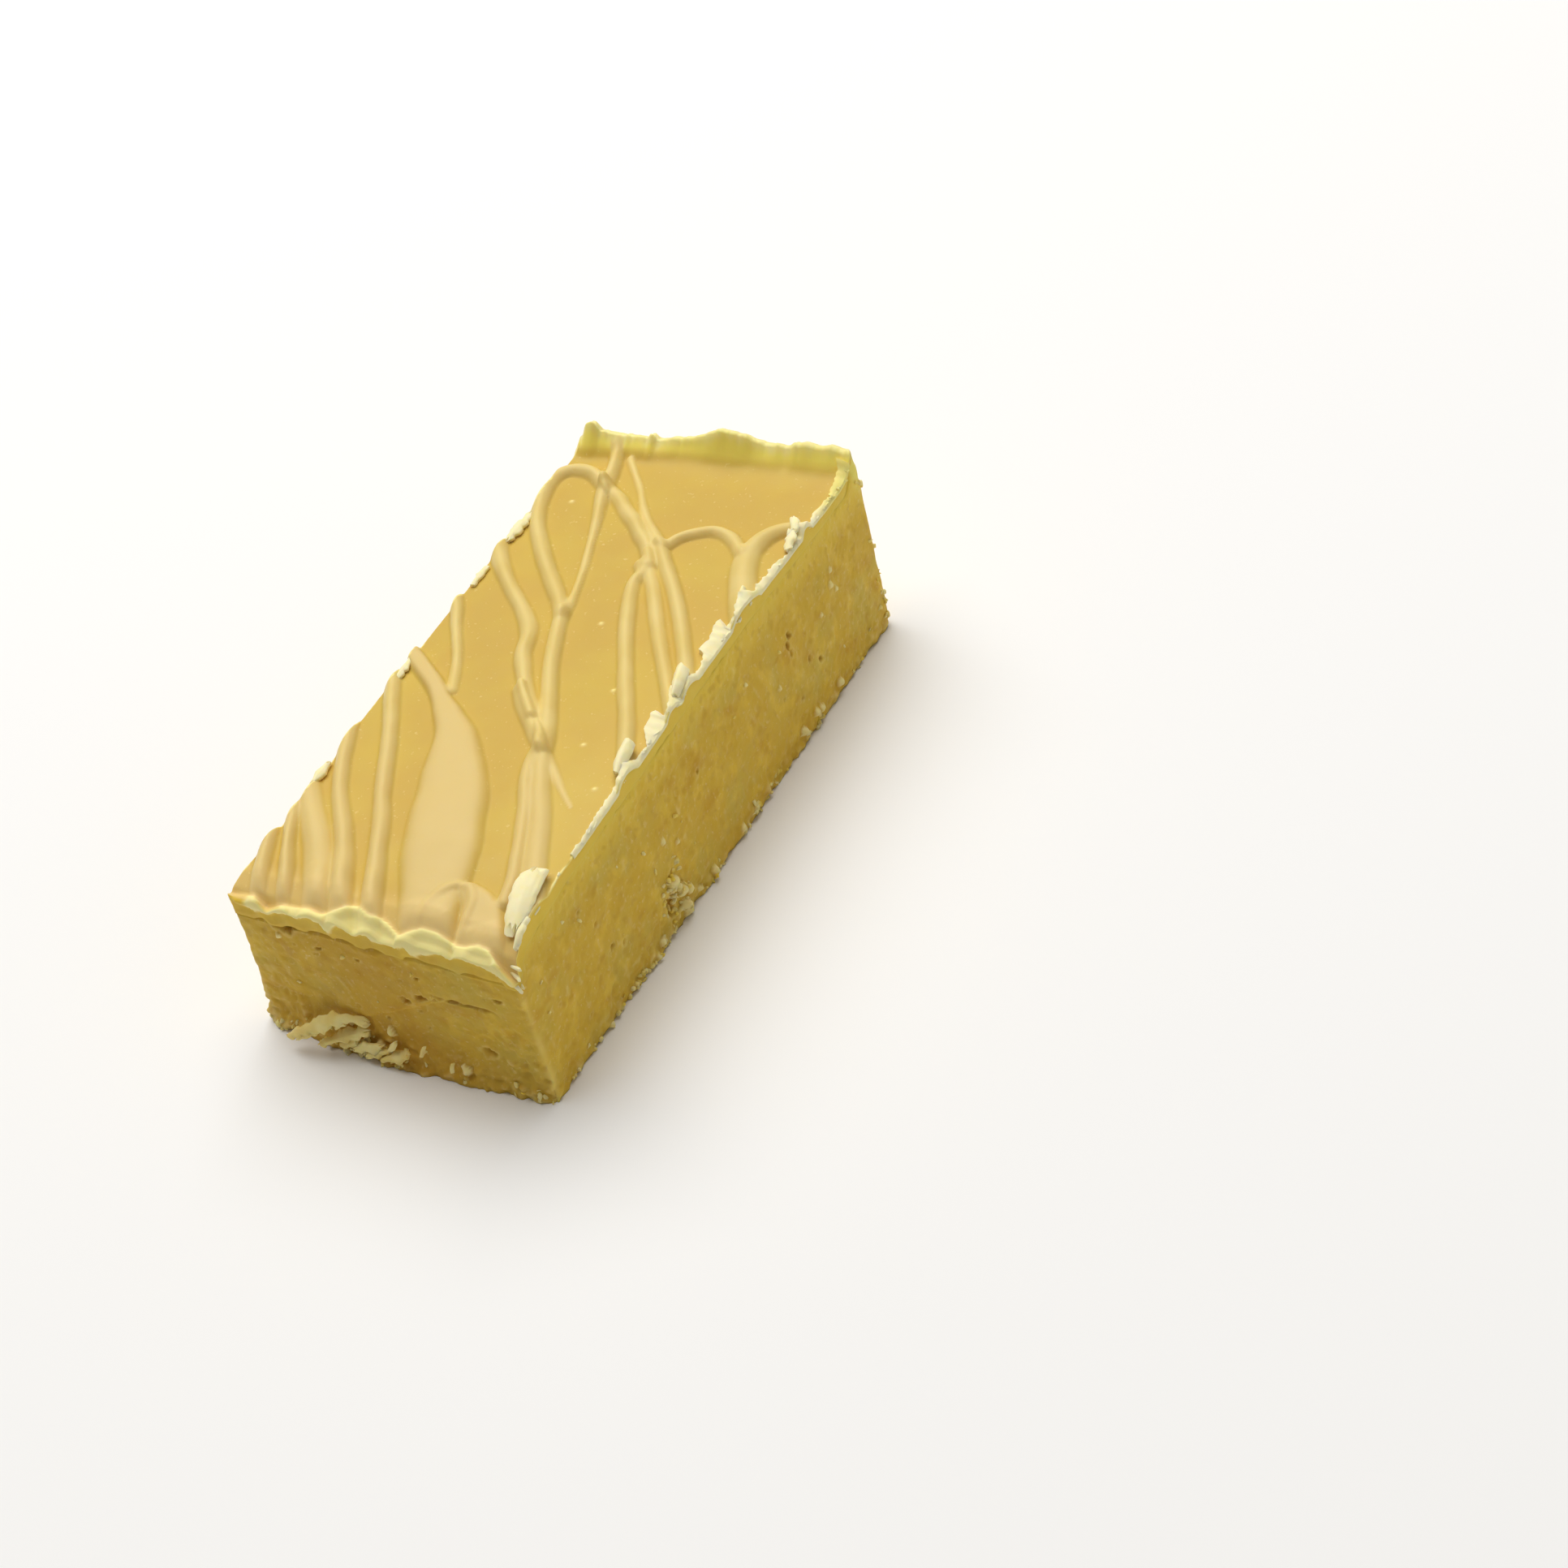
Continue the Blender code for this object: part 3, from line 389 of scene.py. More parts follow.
def left_side(v, w):
    """X of the left cut: it bellies near both ends and flares into a foot at the bottom."""
    top = -(20.3 + 1.5 * v * v + 1.1 * np.exp(-v / 0.04) - 1.3 * bump(v, 0.16, 0.12))
    return top - 0.5 * (1 - w) - FOOT_FLARE * np.exp(-w / 0.2)


def right_side(v, w):
    """X of the right cut: straight along the foot, bowed in a little along the top."""
    return 22.4 + 0.4 * (1 - w) - 0.9 * bump(v, 0.62, 0.3) * w * w


def right_cut(y):
    """X of the right cut along its top, at places along the bar."""
    return right_side((y - NEAR_Y) / (FAR_Y - NEAR_Y), 1.0)


def near_end(u, w):
    """Y of the near cut: it stands out along the foot."""
    return NEAR_Y - 2.2 * np.exp(-w / 0.16) * np.sin(math.pi * np.minimum(u, 0.985)) ** 0.45


def far_end(u, w):
    """Y of the far end, which draws in towards its top and stands out on the right."""
    skew = w**5 * (1.6 * u - 0.6)
    return FAR_Y + 1.7 * (1 - w**5) - 0.5 * (2 * u - 1) ** 2 + 0.9 * u * u + skew


def behind_lip(x, y):
    """How far a point of the top is from the far end's top line, counted larger where the lip is thin."""
    u = np.clip((x - left_side(1.0, 1.0)) / (right_side(1.0, 1.0) - left_side(1.0, 1.0)), 0, 1)
    return (far_end(u, 1.0) - y) * (1 + 0.12 * smooth((x + 12) / 11))


def sag(x, y):
    """How far the near edge of the top hangs under the plane."""
    off_left = (x + WIDTH / 2) / WIDTH
    slope = np.maximum(0.0, 1 - (y - NEAR_Y) / SAG_LENGTH) ** 1.3
    bend = np.maximum(0.0, 1 - (y - NEAR_Y) / BEND_LENGTH) ** 1.3
    return SAG * (0.85 + 0.3 * off_left) * slope + BEND * (0.8 + 0.4 * off_left) * bend


def top_surface(x, y):
    """Height of the topping's own surface, without drizzle or lip."""
    plane = HEIGHT + RISE_TO_FAR * y / LENGTH + RISE_TO_RIGHT * x / WIDTH
    return plane - sag(x, y)


def lip_height(x):
    """Height of the lip over the top, which is uneven and ragged along the tray wall."""
    horn = 1.5 * np.exp(-(((x - HORN_X) / 1.35) ** 4))
    hills = 2.1 * bump(x, 2.0, 4.2) + 1.0 * bump(x, 16.5, 5.0) + horn
    line = at_height(x, 0.0, 3.0)
    ragged = 0.28 * noise(line, 1.9, 61) + 0.2 * noise(line, 0.8, 62) + 0.1 * noise(line, 0.4, 63)
    nicks = 0.9 * bump(x, -9.6, 0.5) - 0.5 * bump(x, 12.0, 0.9) - 0.5 * bump(x, 17.4, 0.8)
    ragged = (ragged + nicks.reshape(-1)).reshape(np.shape(x))
    height = LIP_HEIGHT + hills - 0.6 * bump(x, -9.0, 6.0) + ragged
    return height * (0.5 + 0.5 * smooth((x + 22.0) / 2.0))


def fudge_top(x, y):
    """Height of the fudge: a seat for the topping, then the lip, which steepens up to its crest."""
    off_far = behind_lip(x, y)
    closed = smooth((LIP_WIDTH - off_far) / (0.6 * LIP_WIDTH)) - 1
    climbed = np.clip((LIP_WIDTH - off_far) / (LIP_WIDTH - LIP_CREST), 0, 1)
    return top_surface(x, y) + closed * (TOPPING + GAP) + climbed**1.9 * lip_height(x)


def body_top(x, y):
    """Height of the body, which keeps under the topping at the lip and at the bead."""
    under_bead = BEAD_SINK * smooth((3.2 - (y - NEAR_Y)) / 2.4)
    return fudge_top(x, y) - 0.35 * smooth((LIP_WIDTH - behind_lip(x, y)) / 1.0) - under_bead


def rounded(value, low, high, other, other_low, other_high, radius):
    """Rounds the corner that value and other are near, of the rectangle low..high, other_low..other_high."""
    a = radius - np.minimum(value - low, high - value)
    b = radius - np.minimum(other - other_low, other_high - other)
    spare = np.where((a > 0) & (b > 0), 1 - np.maximum(a, b) / np.maximum(np.hypot(a, b), 1e-9), 0.0)
    inward = np.where(high - value < value - low, -1, 1)
    other_inward = np.where(other_high - other < other - other_low, -1, 1)
    return value + a * spare * inward, other + b * spare * other_inward


def bar_points(u, v, w, top):
    """Points of the bar at the fractions u across, v along and w up; top(x, y) gives its full height."""
    u, v, w = np.broadcast_arrays(np.asarray(u, dtype=float), v, w)
    low_x, high_x = left_side(v, w), right_side(v, w)
    low_y, high_y = near_end(u, w), far_end(u, w)
    x = low_x + (high_x - low_x) * u
    y = low_y + (FAR_Y - low_y) * v + (high_y - FAR_Y) * smooth((v - 0.97) / 0.03)
    x, y = rounded(x, low_x, high_x, y, low_y, high_y, np.where(v > 0.5, TRAY_EDGE, CUT_EDGE))
    z = w * top(x, y)
    y, z = rounded(y, low_y, high_y, z, 0.0, 100.0, np.where(v > 0.9, TRAY_FOOT, FOOT_EDGE))
    x, z = rounded(x, low_x, high_x, z, 0.0, 100.0, FOOT_EDGE)
    return np.stack((x, y, z), axis=-1)


# Meshes


def grid_plan(xs, ys):
    """Points (x, y) of a level grid."""
    return np.stack(np.meshgrid(xs, ys), axis=-1).reshape(-1, 2)


def clearance(plan, ring):
    """How far each point (x, y) of a plan is from the nearest point of a ring."""
    gap_x = plan[:, None, 0] - ring[None, :, 0]
    gap_y = plan[:, None, 1] - ring[None, :, 1]
    return np.min(np.hypot(gap_x, gap_y), axis=1)


def make_piece(name, points, faces, attributes, material, crisp=None):
    """A piece in the scene from points in the bar's millimetres, with values on its points.

    Points past the end of a list of values have 0. The piece is smooth, apart from edges sharper than the
    crisp angle in degrees.
    """
    mesh = bpy.data.meshes.new(name)
    mesh.from_pydata(((points + MOVED) * MM).tolist(), [], faces)
    for key, values in attributes.items():
        layer = mesh.attributes.new(key, "FLOAT", "POINT")
        whole = np.concatenate((values, np.zeros(len(points) - len(values))))
        layer.data.foreach_set("value", whole.astype(np.float32))
    mesh.validate()
    mesh.shade_smooth()
    if crisp is not None:
        mesh.set_sharp_from_angle(angle=math.radians(crisp))
    mesh.materials.append(material)
    piece = bpy.data.objects.new(name, mesh)
    bpy.context.scene.collection.objects.link(piece)
    return piece


def grid_faces(rows, columns, closed=False, first=0):
    """Quads of a grid that is numbered row by row. A closed one joins its last column to its first."""
    across = columns if closed else columns - 1
    r, c = np.meshgrid(np.arange(rows - 1), np.arange(across), indexing="ij")
    here, after = r * columns + c, r * columns + (c + 1) % columns
    quads = np.stack((here, after, after + columns, here + columns), -1)
    return (quads.reshape(-1, 4) + first).tolist()


def band_faces(upper, lower):
    """Quads between two closed rings of numbered points."""
    pairs = list(zip(upper, lower))
    return [(d, b, a, c) for (c, d), (a, b) in zip(pairs, pairs[1:] + pairs[:1])]


def cap(border, inside, numbers, first):
    """Triangles that close a border seen from above, using inside points too.

    border and inside are (x, y) arrays. numbers are the border points' indices, and inside points are
    numbered from first.
    """
    flat = [Vector(p) for p in border.tolist()] + [Vector(p) for p in inside.tolist()]
    count = len(border)
    edges = [(i, (i + 1) % count) for i in range(count)]
    placed, _, faces, origin, _, _ = delaunay_2d_cdt(flat, edges, [list(range(count))], 1, 1e-6)
    index = [source[0] if source else None for source in origin]
    chosen = []
    for face in faces:
        corners = [index[i] for i in face]
        if None in corners:
            continue
        a, b, c = (placed[i] for i in face[:3])
        turn = (b - a).cross(c - a)
        corners = [numbers[i] if i < count else first + i - count for i in corners]
        chosen.append(corners if turn > 0 else corners[::-1])
    return chosen


def curve_through(points, step):
    """Points about step apart on a smooth curve through the given ones (Catmull-Rom)."""
    ends = np.array([points[0]] + list(points) + [points[-1]], dtype=float)
    t = np.linspace(0, 1, 24, endpoint=False)[:, None]
    fine = []
    for a, b, c, d in zip(ends, ends[1:], ends[2:], ends[3:]):
        line = 2 * b + (c - a) * t
        curve = line + (2 * a - 5 * b + 4 * c - d) * t**2 + (3 * b - a - 3 * c + d) * t**3
        fine.append(0.5 * curve)
    fine = np.vstack(fine + [ends[-1:]])
    travelled = np.concatenate(([0], np.cumsum(np.linalg.norm(np.diff(fine, axis=0), axis=1))))
    even = np.linspace(0, travelled[-1], max(4, round(travelled[-1] / step) + 1))
    return np.stack([np.interp(even, travelled, fine[:, k]) for k in range(fine.shape[1])], axis=1)


def along(values, count):
    """A list of evenly spaced values, resampled to count of them."""
    return np.interp(np.linspace(0, 1, count), np.linspace(0, 1, len(values)), values)


def drizzle_relief(x, y):
    """Height of the drizzle over the skin at each (x, y), how far inside a line it is, and how broad that is.

    A line that is laid later lies over the earlier ones.
    """
    level = np.zeros(len(x))
    inside = np.zeros(len(x))
    broad = np.zeros(len(x))
    for order, (name, (points, widths, heights)) in enumerate(DRIZZLE.items()):
        path = curve_through(points, PATH_STEP)
        wander = noise(at_height(path[:, 0], path[:, 1], order * 9.0), 2.6, 31)
        half = along(widths, len(path)) / 2 + 0.09 * wander + 0.12
        uneven = noise(at_height(path[:, 0], path[:, 1], order * 7.0), 3.4, 32)
        height = along(heights, len(path)) * (1 + 0.12 * uneven)
        reach = 1.25 * half.max() + 0.3
        near = (x > path[:, 0].min() - reach) & (x < path[:, 0].max() + reach)
        near &= (y > path[:, 1].min() - reach) & (y < path[:, 1].max() + reach)
        where = np.nonzero(near)[0]
        over = 0.85 if name in LAID_OVER else 0.2
        for part in np.array_split(where, max(1, len(where) // 6000)):
            gap = np.hypot(x[part, None] - path[None, :, 0], y[part, None] - path[None, :, 1])
            closest = np.argmin(gap / half[None, :], axis=1)
            r = gap[np.arange(len(part)), closest] / half[closest]
            if name in FLAT_DRIZZLE:
                arch = np.clip(1 - (r / 1.04) ** 4, 0, 1) ** 0.9
            else:
                arch = 0.55 * np.clip(1 - r * r, 0, 1) ** 0.7
                arch = arch + 0.45 * np.clip(1 - (r / 1.22) ** 2, 0, 1) ** 1.7
            own = 0.88 * FLATTENED.get(name, 1.0) * arch * height[closest]
            own = own + over * level[part] * smooth((1.05 - r) / 0.35)
            level[part] = (level[part] ** 3 + own**3) ** (1 / 3)
            inside[part] = np.maximum(inside[part], smooth((1.12 - r) / 0.42))
            if name in FLAT_DRIZZLE:
                broad[part] = np.maximum(broad[part], smooth((1.1 - r) / 0.3))
    return level, inside, np.maximum(broad, 0.8 * inside * smooth((-6.0 - y) / 22.0))


def shell(path, widths, cup, lean, thickness, seed, ragged):
    """A torn flake: a cupped plate that follows a path, closed all round.

    Returns its points and faces. path is an array of (x, y, z), lean tips the plate about the path, and
    ragged is how unevenly its two long edges are torn.
    """
    count, across = len(path), SHELL_ACROSS
    ahead = np.gradient(path, axis=0)
    ahead /= np.linalg.norm(ahead, axis=1)[:, None]
    side = np.cross(ahead, (0.0, 0.0, 1.0))
    side /= np.linalg.norm(side, axis=1)[:, None]
    up = np.cross(side, ahead)
    turn = math.radians(lean)
    side, up = side * math.cos(turn) + up * math.sin(turn), up * math.cos(turn) - side * math.sin(turn)
    s = np.linspace(0, 1, count)
    t = np.linspace(-1, 1, across)
    travelled = s * np.sum(np.linalg.norm(np.diff(path, axis=0), axis=1))
    square = np.clip(np.minimum(s, 1 - s) / 0.04, 0.02, 1) ** 0.5
    half = along(widths, count) / 2 * square
    torn = np.random.default_rng(seed)
    edges = []
    for _ in range(2):
        knots = np.cumsum(torn.uniform(0.25, 0.95, 60))
        edges.append(np.interp(travelled, knots, 1 + ragged * torn.uniform(-1.0, 0.6, 60)))
    skew = 0.5 * math.sin(seed * 2.3)
    frayed = 0.7 * half.max() * noise(at_height(t * half.max(), 0.0, seed * 1.7), 0.45, seed + 9)
    streaks = 0.08 if cup > 0.3 else 0.03
    points = []
    for sign in (1.0, -1.0):
        for k in range(count):
            reach = np.where(t < 0, edges[0][k], edges[1][k]) * half[k]
            rim = thickness * (1 - 0.8 * np.abs(t) ** 10) * (0.35 + 0.65 * square[k]) / 2
            ridges = streaks * noise(at_height(t * half[k], travelled[k] * 0.2, seed), 0.35, seed + 5)
            lift = cup * (1 - t * t) * square[k] + ridges + sign * rim
            row = path[k] + side[k] * (t * reach)[:, None] + up[k] * lift[:, None]
            points.append(row + ahead[k] * (t * skew * half[k] + frayed * (2 * s[k] - 1) ** 5)[:, None])
    points = np.vstack(points)
    rough = np.stack([noise(points + seed, 0.55, seed + n) for n in range(3)], axis=1)
    points = points + rough * 0.02
    size = count * across
    top = grid_faces(count, across)
    bottom = [face[::-1] for face in grid_faces(count, across, first=size)]
    ring = [k * across for k in range(count)] + [(count - 1) * across + k for k in range(1, across)]
    ring += [k * across + across - 1 for k in range(count - 2, -1, -1)] + list(range(across - 2, 0, -1))
    sides = [(a, b, b + size, a + size) for a, b in zip(ring, ring[1:] + ring[:1])]
    return points, outward(points, top + bottom + sides)


def outward(points, faces):
    """Faces turned to point out of the closed form."""
    volume = 0.0
    for face in faces:
        corners = points[list(face)]
        for n in range(1, len(corners) - 1):
            volume += np.dot(corners[0], np.cross(corners[n], corners[n + 1]))
    return faces if volume > 0 else [face[::-1] for face in faces]


# Materials


def new_material(name):
    """A node material, with its tree and its shader."""
    material = bpy.data.materials.new(name)
    material.use_nodes = True
    tree = material.node_tree
    return material, tree, tree.nodes["Principled BSDF"]


def link(tree, source, target):
    """Joins two sockets, or sets the target to a plain value."""
    if isinstance(source, bpy.types.NodeSocket):
        tree.links.new(source, target)
    else:
        target.default_value = source


def attribute(tree, name):
    """A number kept on the piece's points."""
    node = tree.nodes.new("ShaderNodeAttribute")
    node.attribute_name = name
    return node.outputs["Fac"]


def painted(tree, tone, coats):
    """A colour with others over it. Each coat is (share, colour), and a share may name an attribute."""
    for share, colour in coats:
        node = tree.nodes.new("ShaderNodeMix")
        node.data_type = "RGBA"
        link(tree, attribute(tree, share) if isinstance(share, str) else share, node.inputs[0])
        link(tree, tone, node.inputs[6])
        link(tree, colour, node.inputs[7])
        tone = node.outputs[2]
    return tone


def maths(tree, kind, a, b):
    """One sum on two numbers."""
    node = tree.nodes.new("ShaderNodeMath")
    node.operation = kind
    link(tree, a, node.inputs[0])
    link(tree, b, node.inputs[1])
    return node.outputs[0]


def from_range(tree, value, low, high, to_low=0.0, to_high=1.0):
    """A value moved from one range to another and kept inside it."""
    node = tree.nodes.new("ShaderNodeMapRange")
    node.interpolation_type = "SMOOTHSTEP"
    for socket, given in zip(node.inputs, (value, low, high, to_low, to_high)):
        link(tree, given, socket)
    return node.outputs[0]


def cloud(tree, size_mm, detail, stretch=(1.0, 1.0, 1.0)):
    """Noise on Object coordinates whose hills are about size_mm apart."""
    place = tree.nodes.new("ShaderNodeTexCoord").outputs["Object"]
    mapping = tree.nodes.new("ShaderNodeMapping")
    mapping.inputs["Scale"].default_value = stretch
    tree.links.new(place, mapping.inputs["Vector"])
    node = tree.nodes.new("ShaderNodeTexNoise")
    node.inputs["Scale"].default_value = 1 / (size_mm * MM)
    node.inputs["Detail"].default_value = detail
    tree.links.new(mapping.outputs["Vector"], node.inputs["Vector"])
    return node.outputs["Fac"]


def patches(tree, size_mm, detail, low, high, least=0.0, most=1.0, stretch=(1.0, 1.0, 1.0)):
    """Soft patches of noise: least where it is under low, and most where it is over high."""
    return from_range(tree, cloud(tree, size_mm, detail, stretch), low, high, least, most)


def bump_from(tree, layers, shader):
    """Fine relief under the reach of the mesh: each layer is (height, distance in mm, strength)."""
    normal = None
    for height, distance, strength in layers:
        node = tree.nodes.new("ShaderNodeBump")
        node.inputs["Strength"].default_value = strength
        node.inputs["Distance"].default_value = distance * MM
        link(tree, height, node.inputs["Height"])
        if normal is not None:
            tree.links.new(normal, node.inputs["Normal"])
        normal = node.outputs["Normal"]
    tree.links.new(normal, shader.inputs["Normal"])


def set_shader(tree, shader, tone, roughness, specular, inside, relief):
    """Sets the shader's colour and gloss, the light that sinks in and comes out again, and its fine relief.

    inside is (weight, radius in mm), as in sugar and butter.
    """
    link(tree, tone, shader.inputs["Base Color"])
    link(tree, roughness, shader.inputs["Roughness"])
    shader.inputs["Specular IOR Level"].default_value = specular
    shader.inputs["Subsurface Weight"].default_value = inside[0]
    shader.inputs["Subsurface Radius"].default_value = GLOW
    shader.inputs["Subsurface Scale"].default_value = inside[1] * MM
    bump_from(tree, relief, shader)


def height_share(tree, low_mm, high_mm):
    """0 below one height over the ground, 1 above the other."""
    place = tree.nodes.new("ShaderNodeTexCoord").outputs["Object"]
    parts = tree.nodes.new("ShaderNodeSeparateXYZ")
    tree.links.new(place, parts.inputs[0])
    return from_range(tree, parts.outputs["Z"], low_mm * MM, high_mm * MM)


def fudge_tones(tree, colours):
    """The cut fudge's colour: olive and amber clouds, darker amber at the foot as painted shade, and bright
    under the topping.
    """
    foot = maths(tree, "SUBTRACT", 1.0, height_share(tree, 0.0, 9.0))
    return painted(tree, colours.fudge, (
        (patches(tree, 9.0, 2.0, 0.42, 0.68), colours.fudge_olive),
        (patches(tree, 5.0, 3.0, 0.52, 0.74, 0.0, 0.8, (1.3, 1.0, 1.6)), colours.fudge_amber),
        # Painted shade: darker amber towards the foot
        (maths(tree, "MULTIPLY", foot, 0.1), colours.fudge_amber),
        (patches(tree, 3.2, 4.0, 0.48, 0.7, 0.0, 0.5, (1.0, 1.0, 0.8)), colours.fudge_bright),
        (maths(tree, "MULTIPLY", height_share(tree, 20.0, 26.0), 0.95), colours.fudge_bright),
    ))


def fudge_material(colours):
    """Dense cut fudge, with painted shade on the near face, in its pits and along the crack, and painted
    light on the lip.
    """
    material, tree, shader = new_material("cut_fudge")
    tone = painted(tree, fudge_tones(tree, colours), (
        # front and deep are painted shade; the random patches in the same colour are the fudge's own mottling
        ("front", colours.shade_and_mottle),
        (patches(tree, 0.9, 1.0, 0.6, 0.74, 0.0, 0.18), colours.grain),
        (patches(tree, 0.45, 1.0, 0.66, 0.78, 0.0, 0.28), colours.grain),
        (patches(tree, 1.6, 1.0, 0.56, 0.74, 0.0, 0.3), colours.shade_and_mottle),
        ("pale", colours.grain),
        ("deep", colours.shade_and_mottle),
        # lip: the lip's yellow, partly painted light for the glow through it
        ("lip", colours.lip),
        ("crest", colours.rim),
    ))
    relief = ((cloud(tree, 0.9, 4.0), 0.3, 0.45), (cloud(tree, 0.3, 2.0), 0.1, 0.4))
    set_shader(tree, shader, tone, patches(tree, 2.0, 2.0, 0.3, 0.7, 0.55, 0.72), 0.2, (0.45, 1.2), relief)
    return material


def skin_material(colours):
    """The set topping: tan skin, paler drizzle, and cream where it is cut, with a painted sheen, a painted
    lighter band along the near cut and painted light on the lip.
    """
    material, tree, shader = new_material("set_topping")
    line = painted(tree, colours.drizzle, (
        (patches(tree, 6.0, 1.0, 0.35, 0.65), colours.drizzle_light),
        ("broad", colours.drizzle_broad),
    ))
    tone = painted(tree, colours.skin, (
        (patches(tree, 11.0, 2.0, 0.38, 0.68), colours.skin_warm),
        ("painted_sheen", colours.sheen_tone),
        (patches(tree, 0.6, 1.0, 0.68, 0.76, 0.0, 0.5), colours.drizzle_light),
        # lip: the lip's yellow, partly painted light for the glow through it
        ("lip", colours.lip),
        ("drizzle", line),
        ("painted_band_light", colours.painted_band_light),
        ("cut", fudge_tones(tree, colours)),
        ("cream", colours.rim),
        ("crest", colours.rim),
    ))
    dull = maths(tree, "MAXIMUM", attribute(tree, "cut"), attribute(tree, "cream"))
    gloss = patches(tree, 3.0, 3.0, 0.3, 0.7, 0.36, 0.48)
    roughness = maths(tree, "ADD", gloss, maths(tree, "MULTIPLY", dull, 0.2))
    relief = ((cloud(tree, 1.6, 3.0), 0.12, 0.25), (cloud(tree, 0.3, 2.0), 0.04, 0.25))
    set_shader(tree, shader, tone, roughness, 0.2, (0.4, 1.0), relief)
    return material


def cream_material(colours):
    """Torn flakes and splinters of the topping."""
    material, tree, shader = new_material("torn_cream")
    tone = painted(tree, colours.cream, (
        (patches(tree, 1.6, 3.0, 0.45, 0.8, 0.0, 0.7), colours.rim),
        ("yellow", colours.lip),
    ))
    set_shader(tree, shader, tone, 0.55, 0.3, (0.4, 0.5), ((cloud(tree, 0.6, 2.0), 0.08, 0.3),))
    return material


def crumb_material(colours):
    """Loose crumbs, paler than the cut they came from."""
    material, tree, shader = new_material("fudge_crumb")
    tone = painted(tree, colours.fudge_bright, ((patches(tree, 2.2, 2.0, 0.3, 0.6), colours.grain),))
    set_shader(tree, shader, tone, 0.6, 0.3, (0.4, 0.8), ((cloud(tree, 0.4, 2.0), 0.1, 0.4),))
    return material


def floor_material(colours):
    """The plain pale ground."""
    material, tree, shader = new_material("pale_ground")
    darker = tuple(0.985 * c for c in colours.ground)
    tone = painted(tree, colours.ground, ((cloud(tree, 400.0, 1.0), darker),))
    link(tree, tone, shader.inputs["Base Color"])
    shader.inputs["Roughness"].default_value = 0.9
    shader.inputs["Specular IOR Level"].default_value = 0.1
    return material


# Surfaces of the two main pieces


def side_frame():
    """For the stations round the bar: fractions u and v, and which side each belongs to."""
    near, right, far, left = BODY_STATIONS
    u = np.concatenate((np.arange(near) / near, np.ones(right), 1 - np.arange(far) / far, np.zeros(left)))
    v = np.concatenate((np.zeros(near), np.arange(right) / right, np.ones(far), 1 - np.arange(left) / left))
    sides = np.repeat(np.array(("near", "right", "far", "left")), BODY_STATIONS)
    return u, v, sides


def body_rows():
    """Fractions up the bar, closer together at the foot."""
    foot = np.array((0.0, 0.25, 0.5, 0.75, 1.0)) / HEIGHT
    return np.concatenate((foot, np.linspace(1.3 / HEIGHT, 1.0, BODY_ROWS - len(foot))))


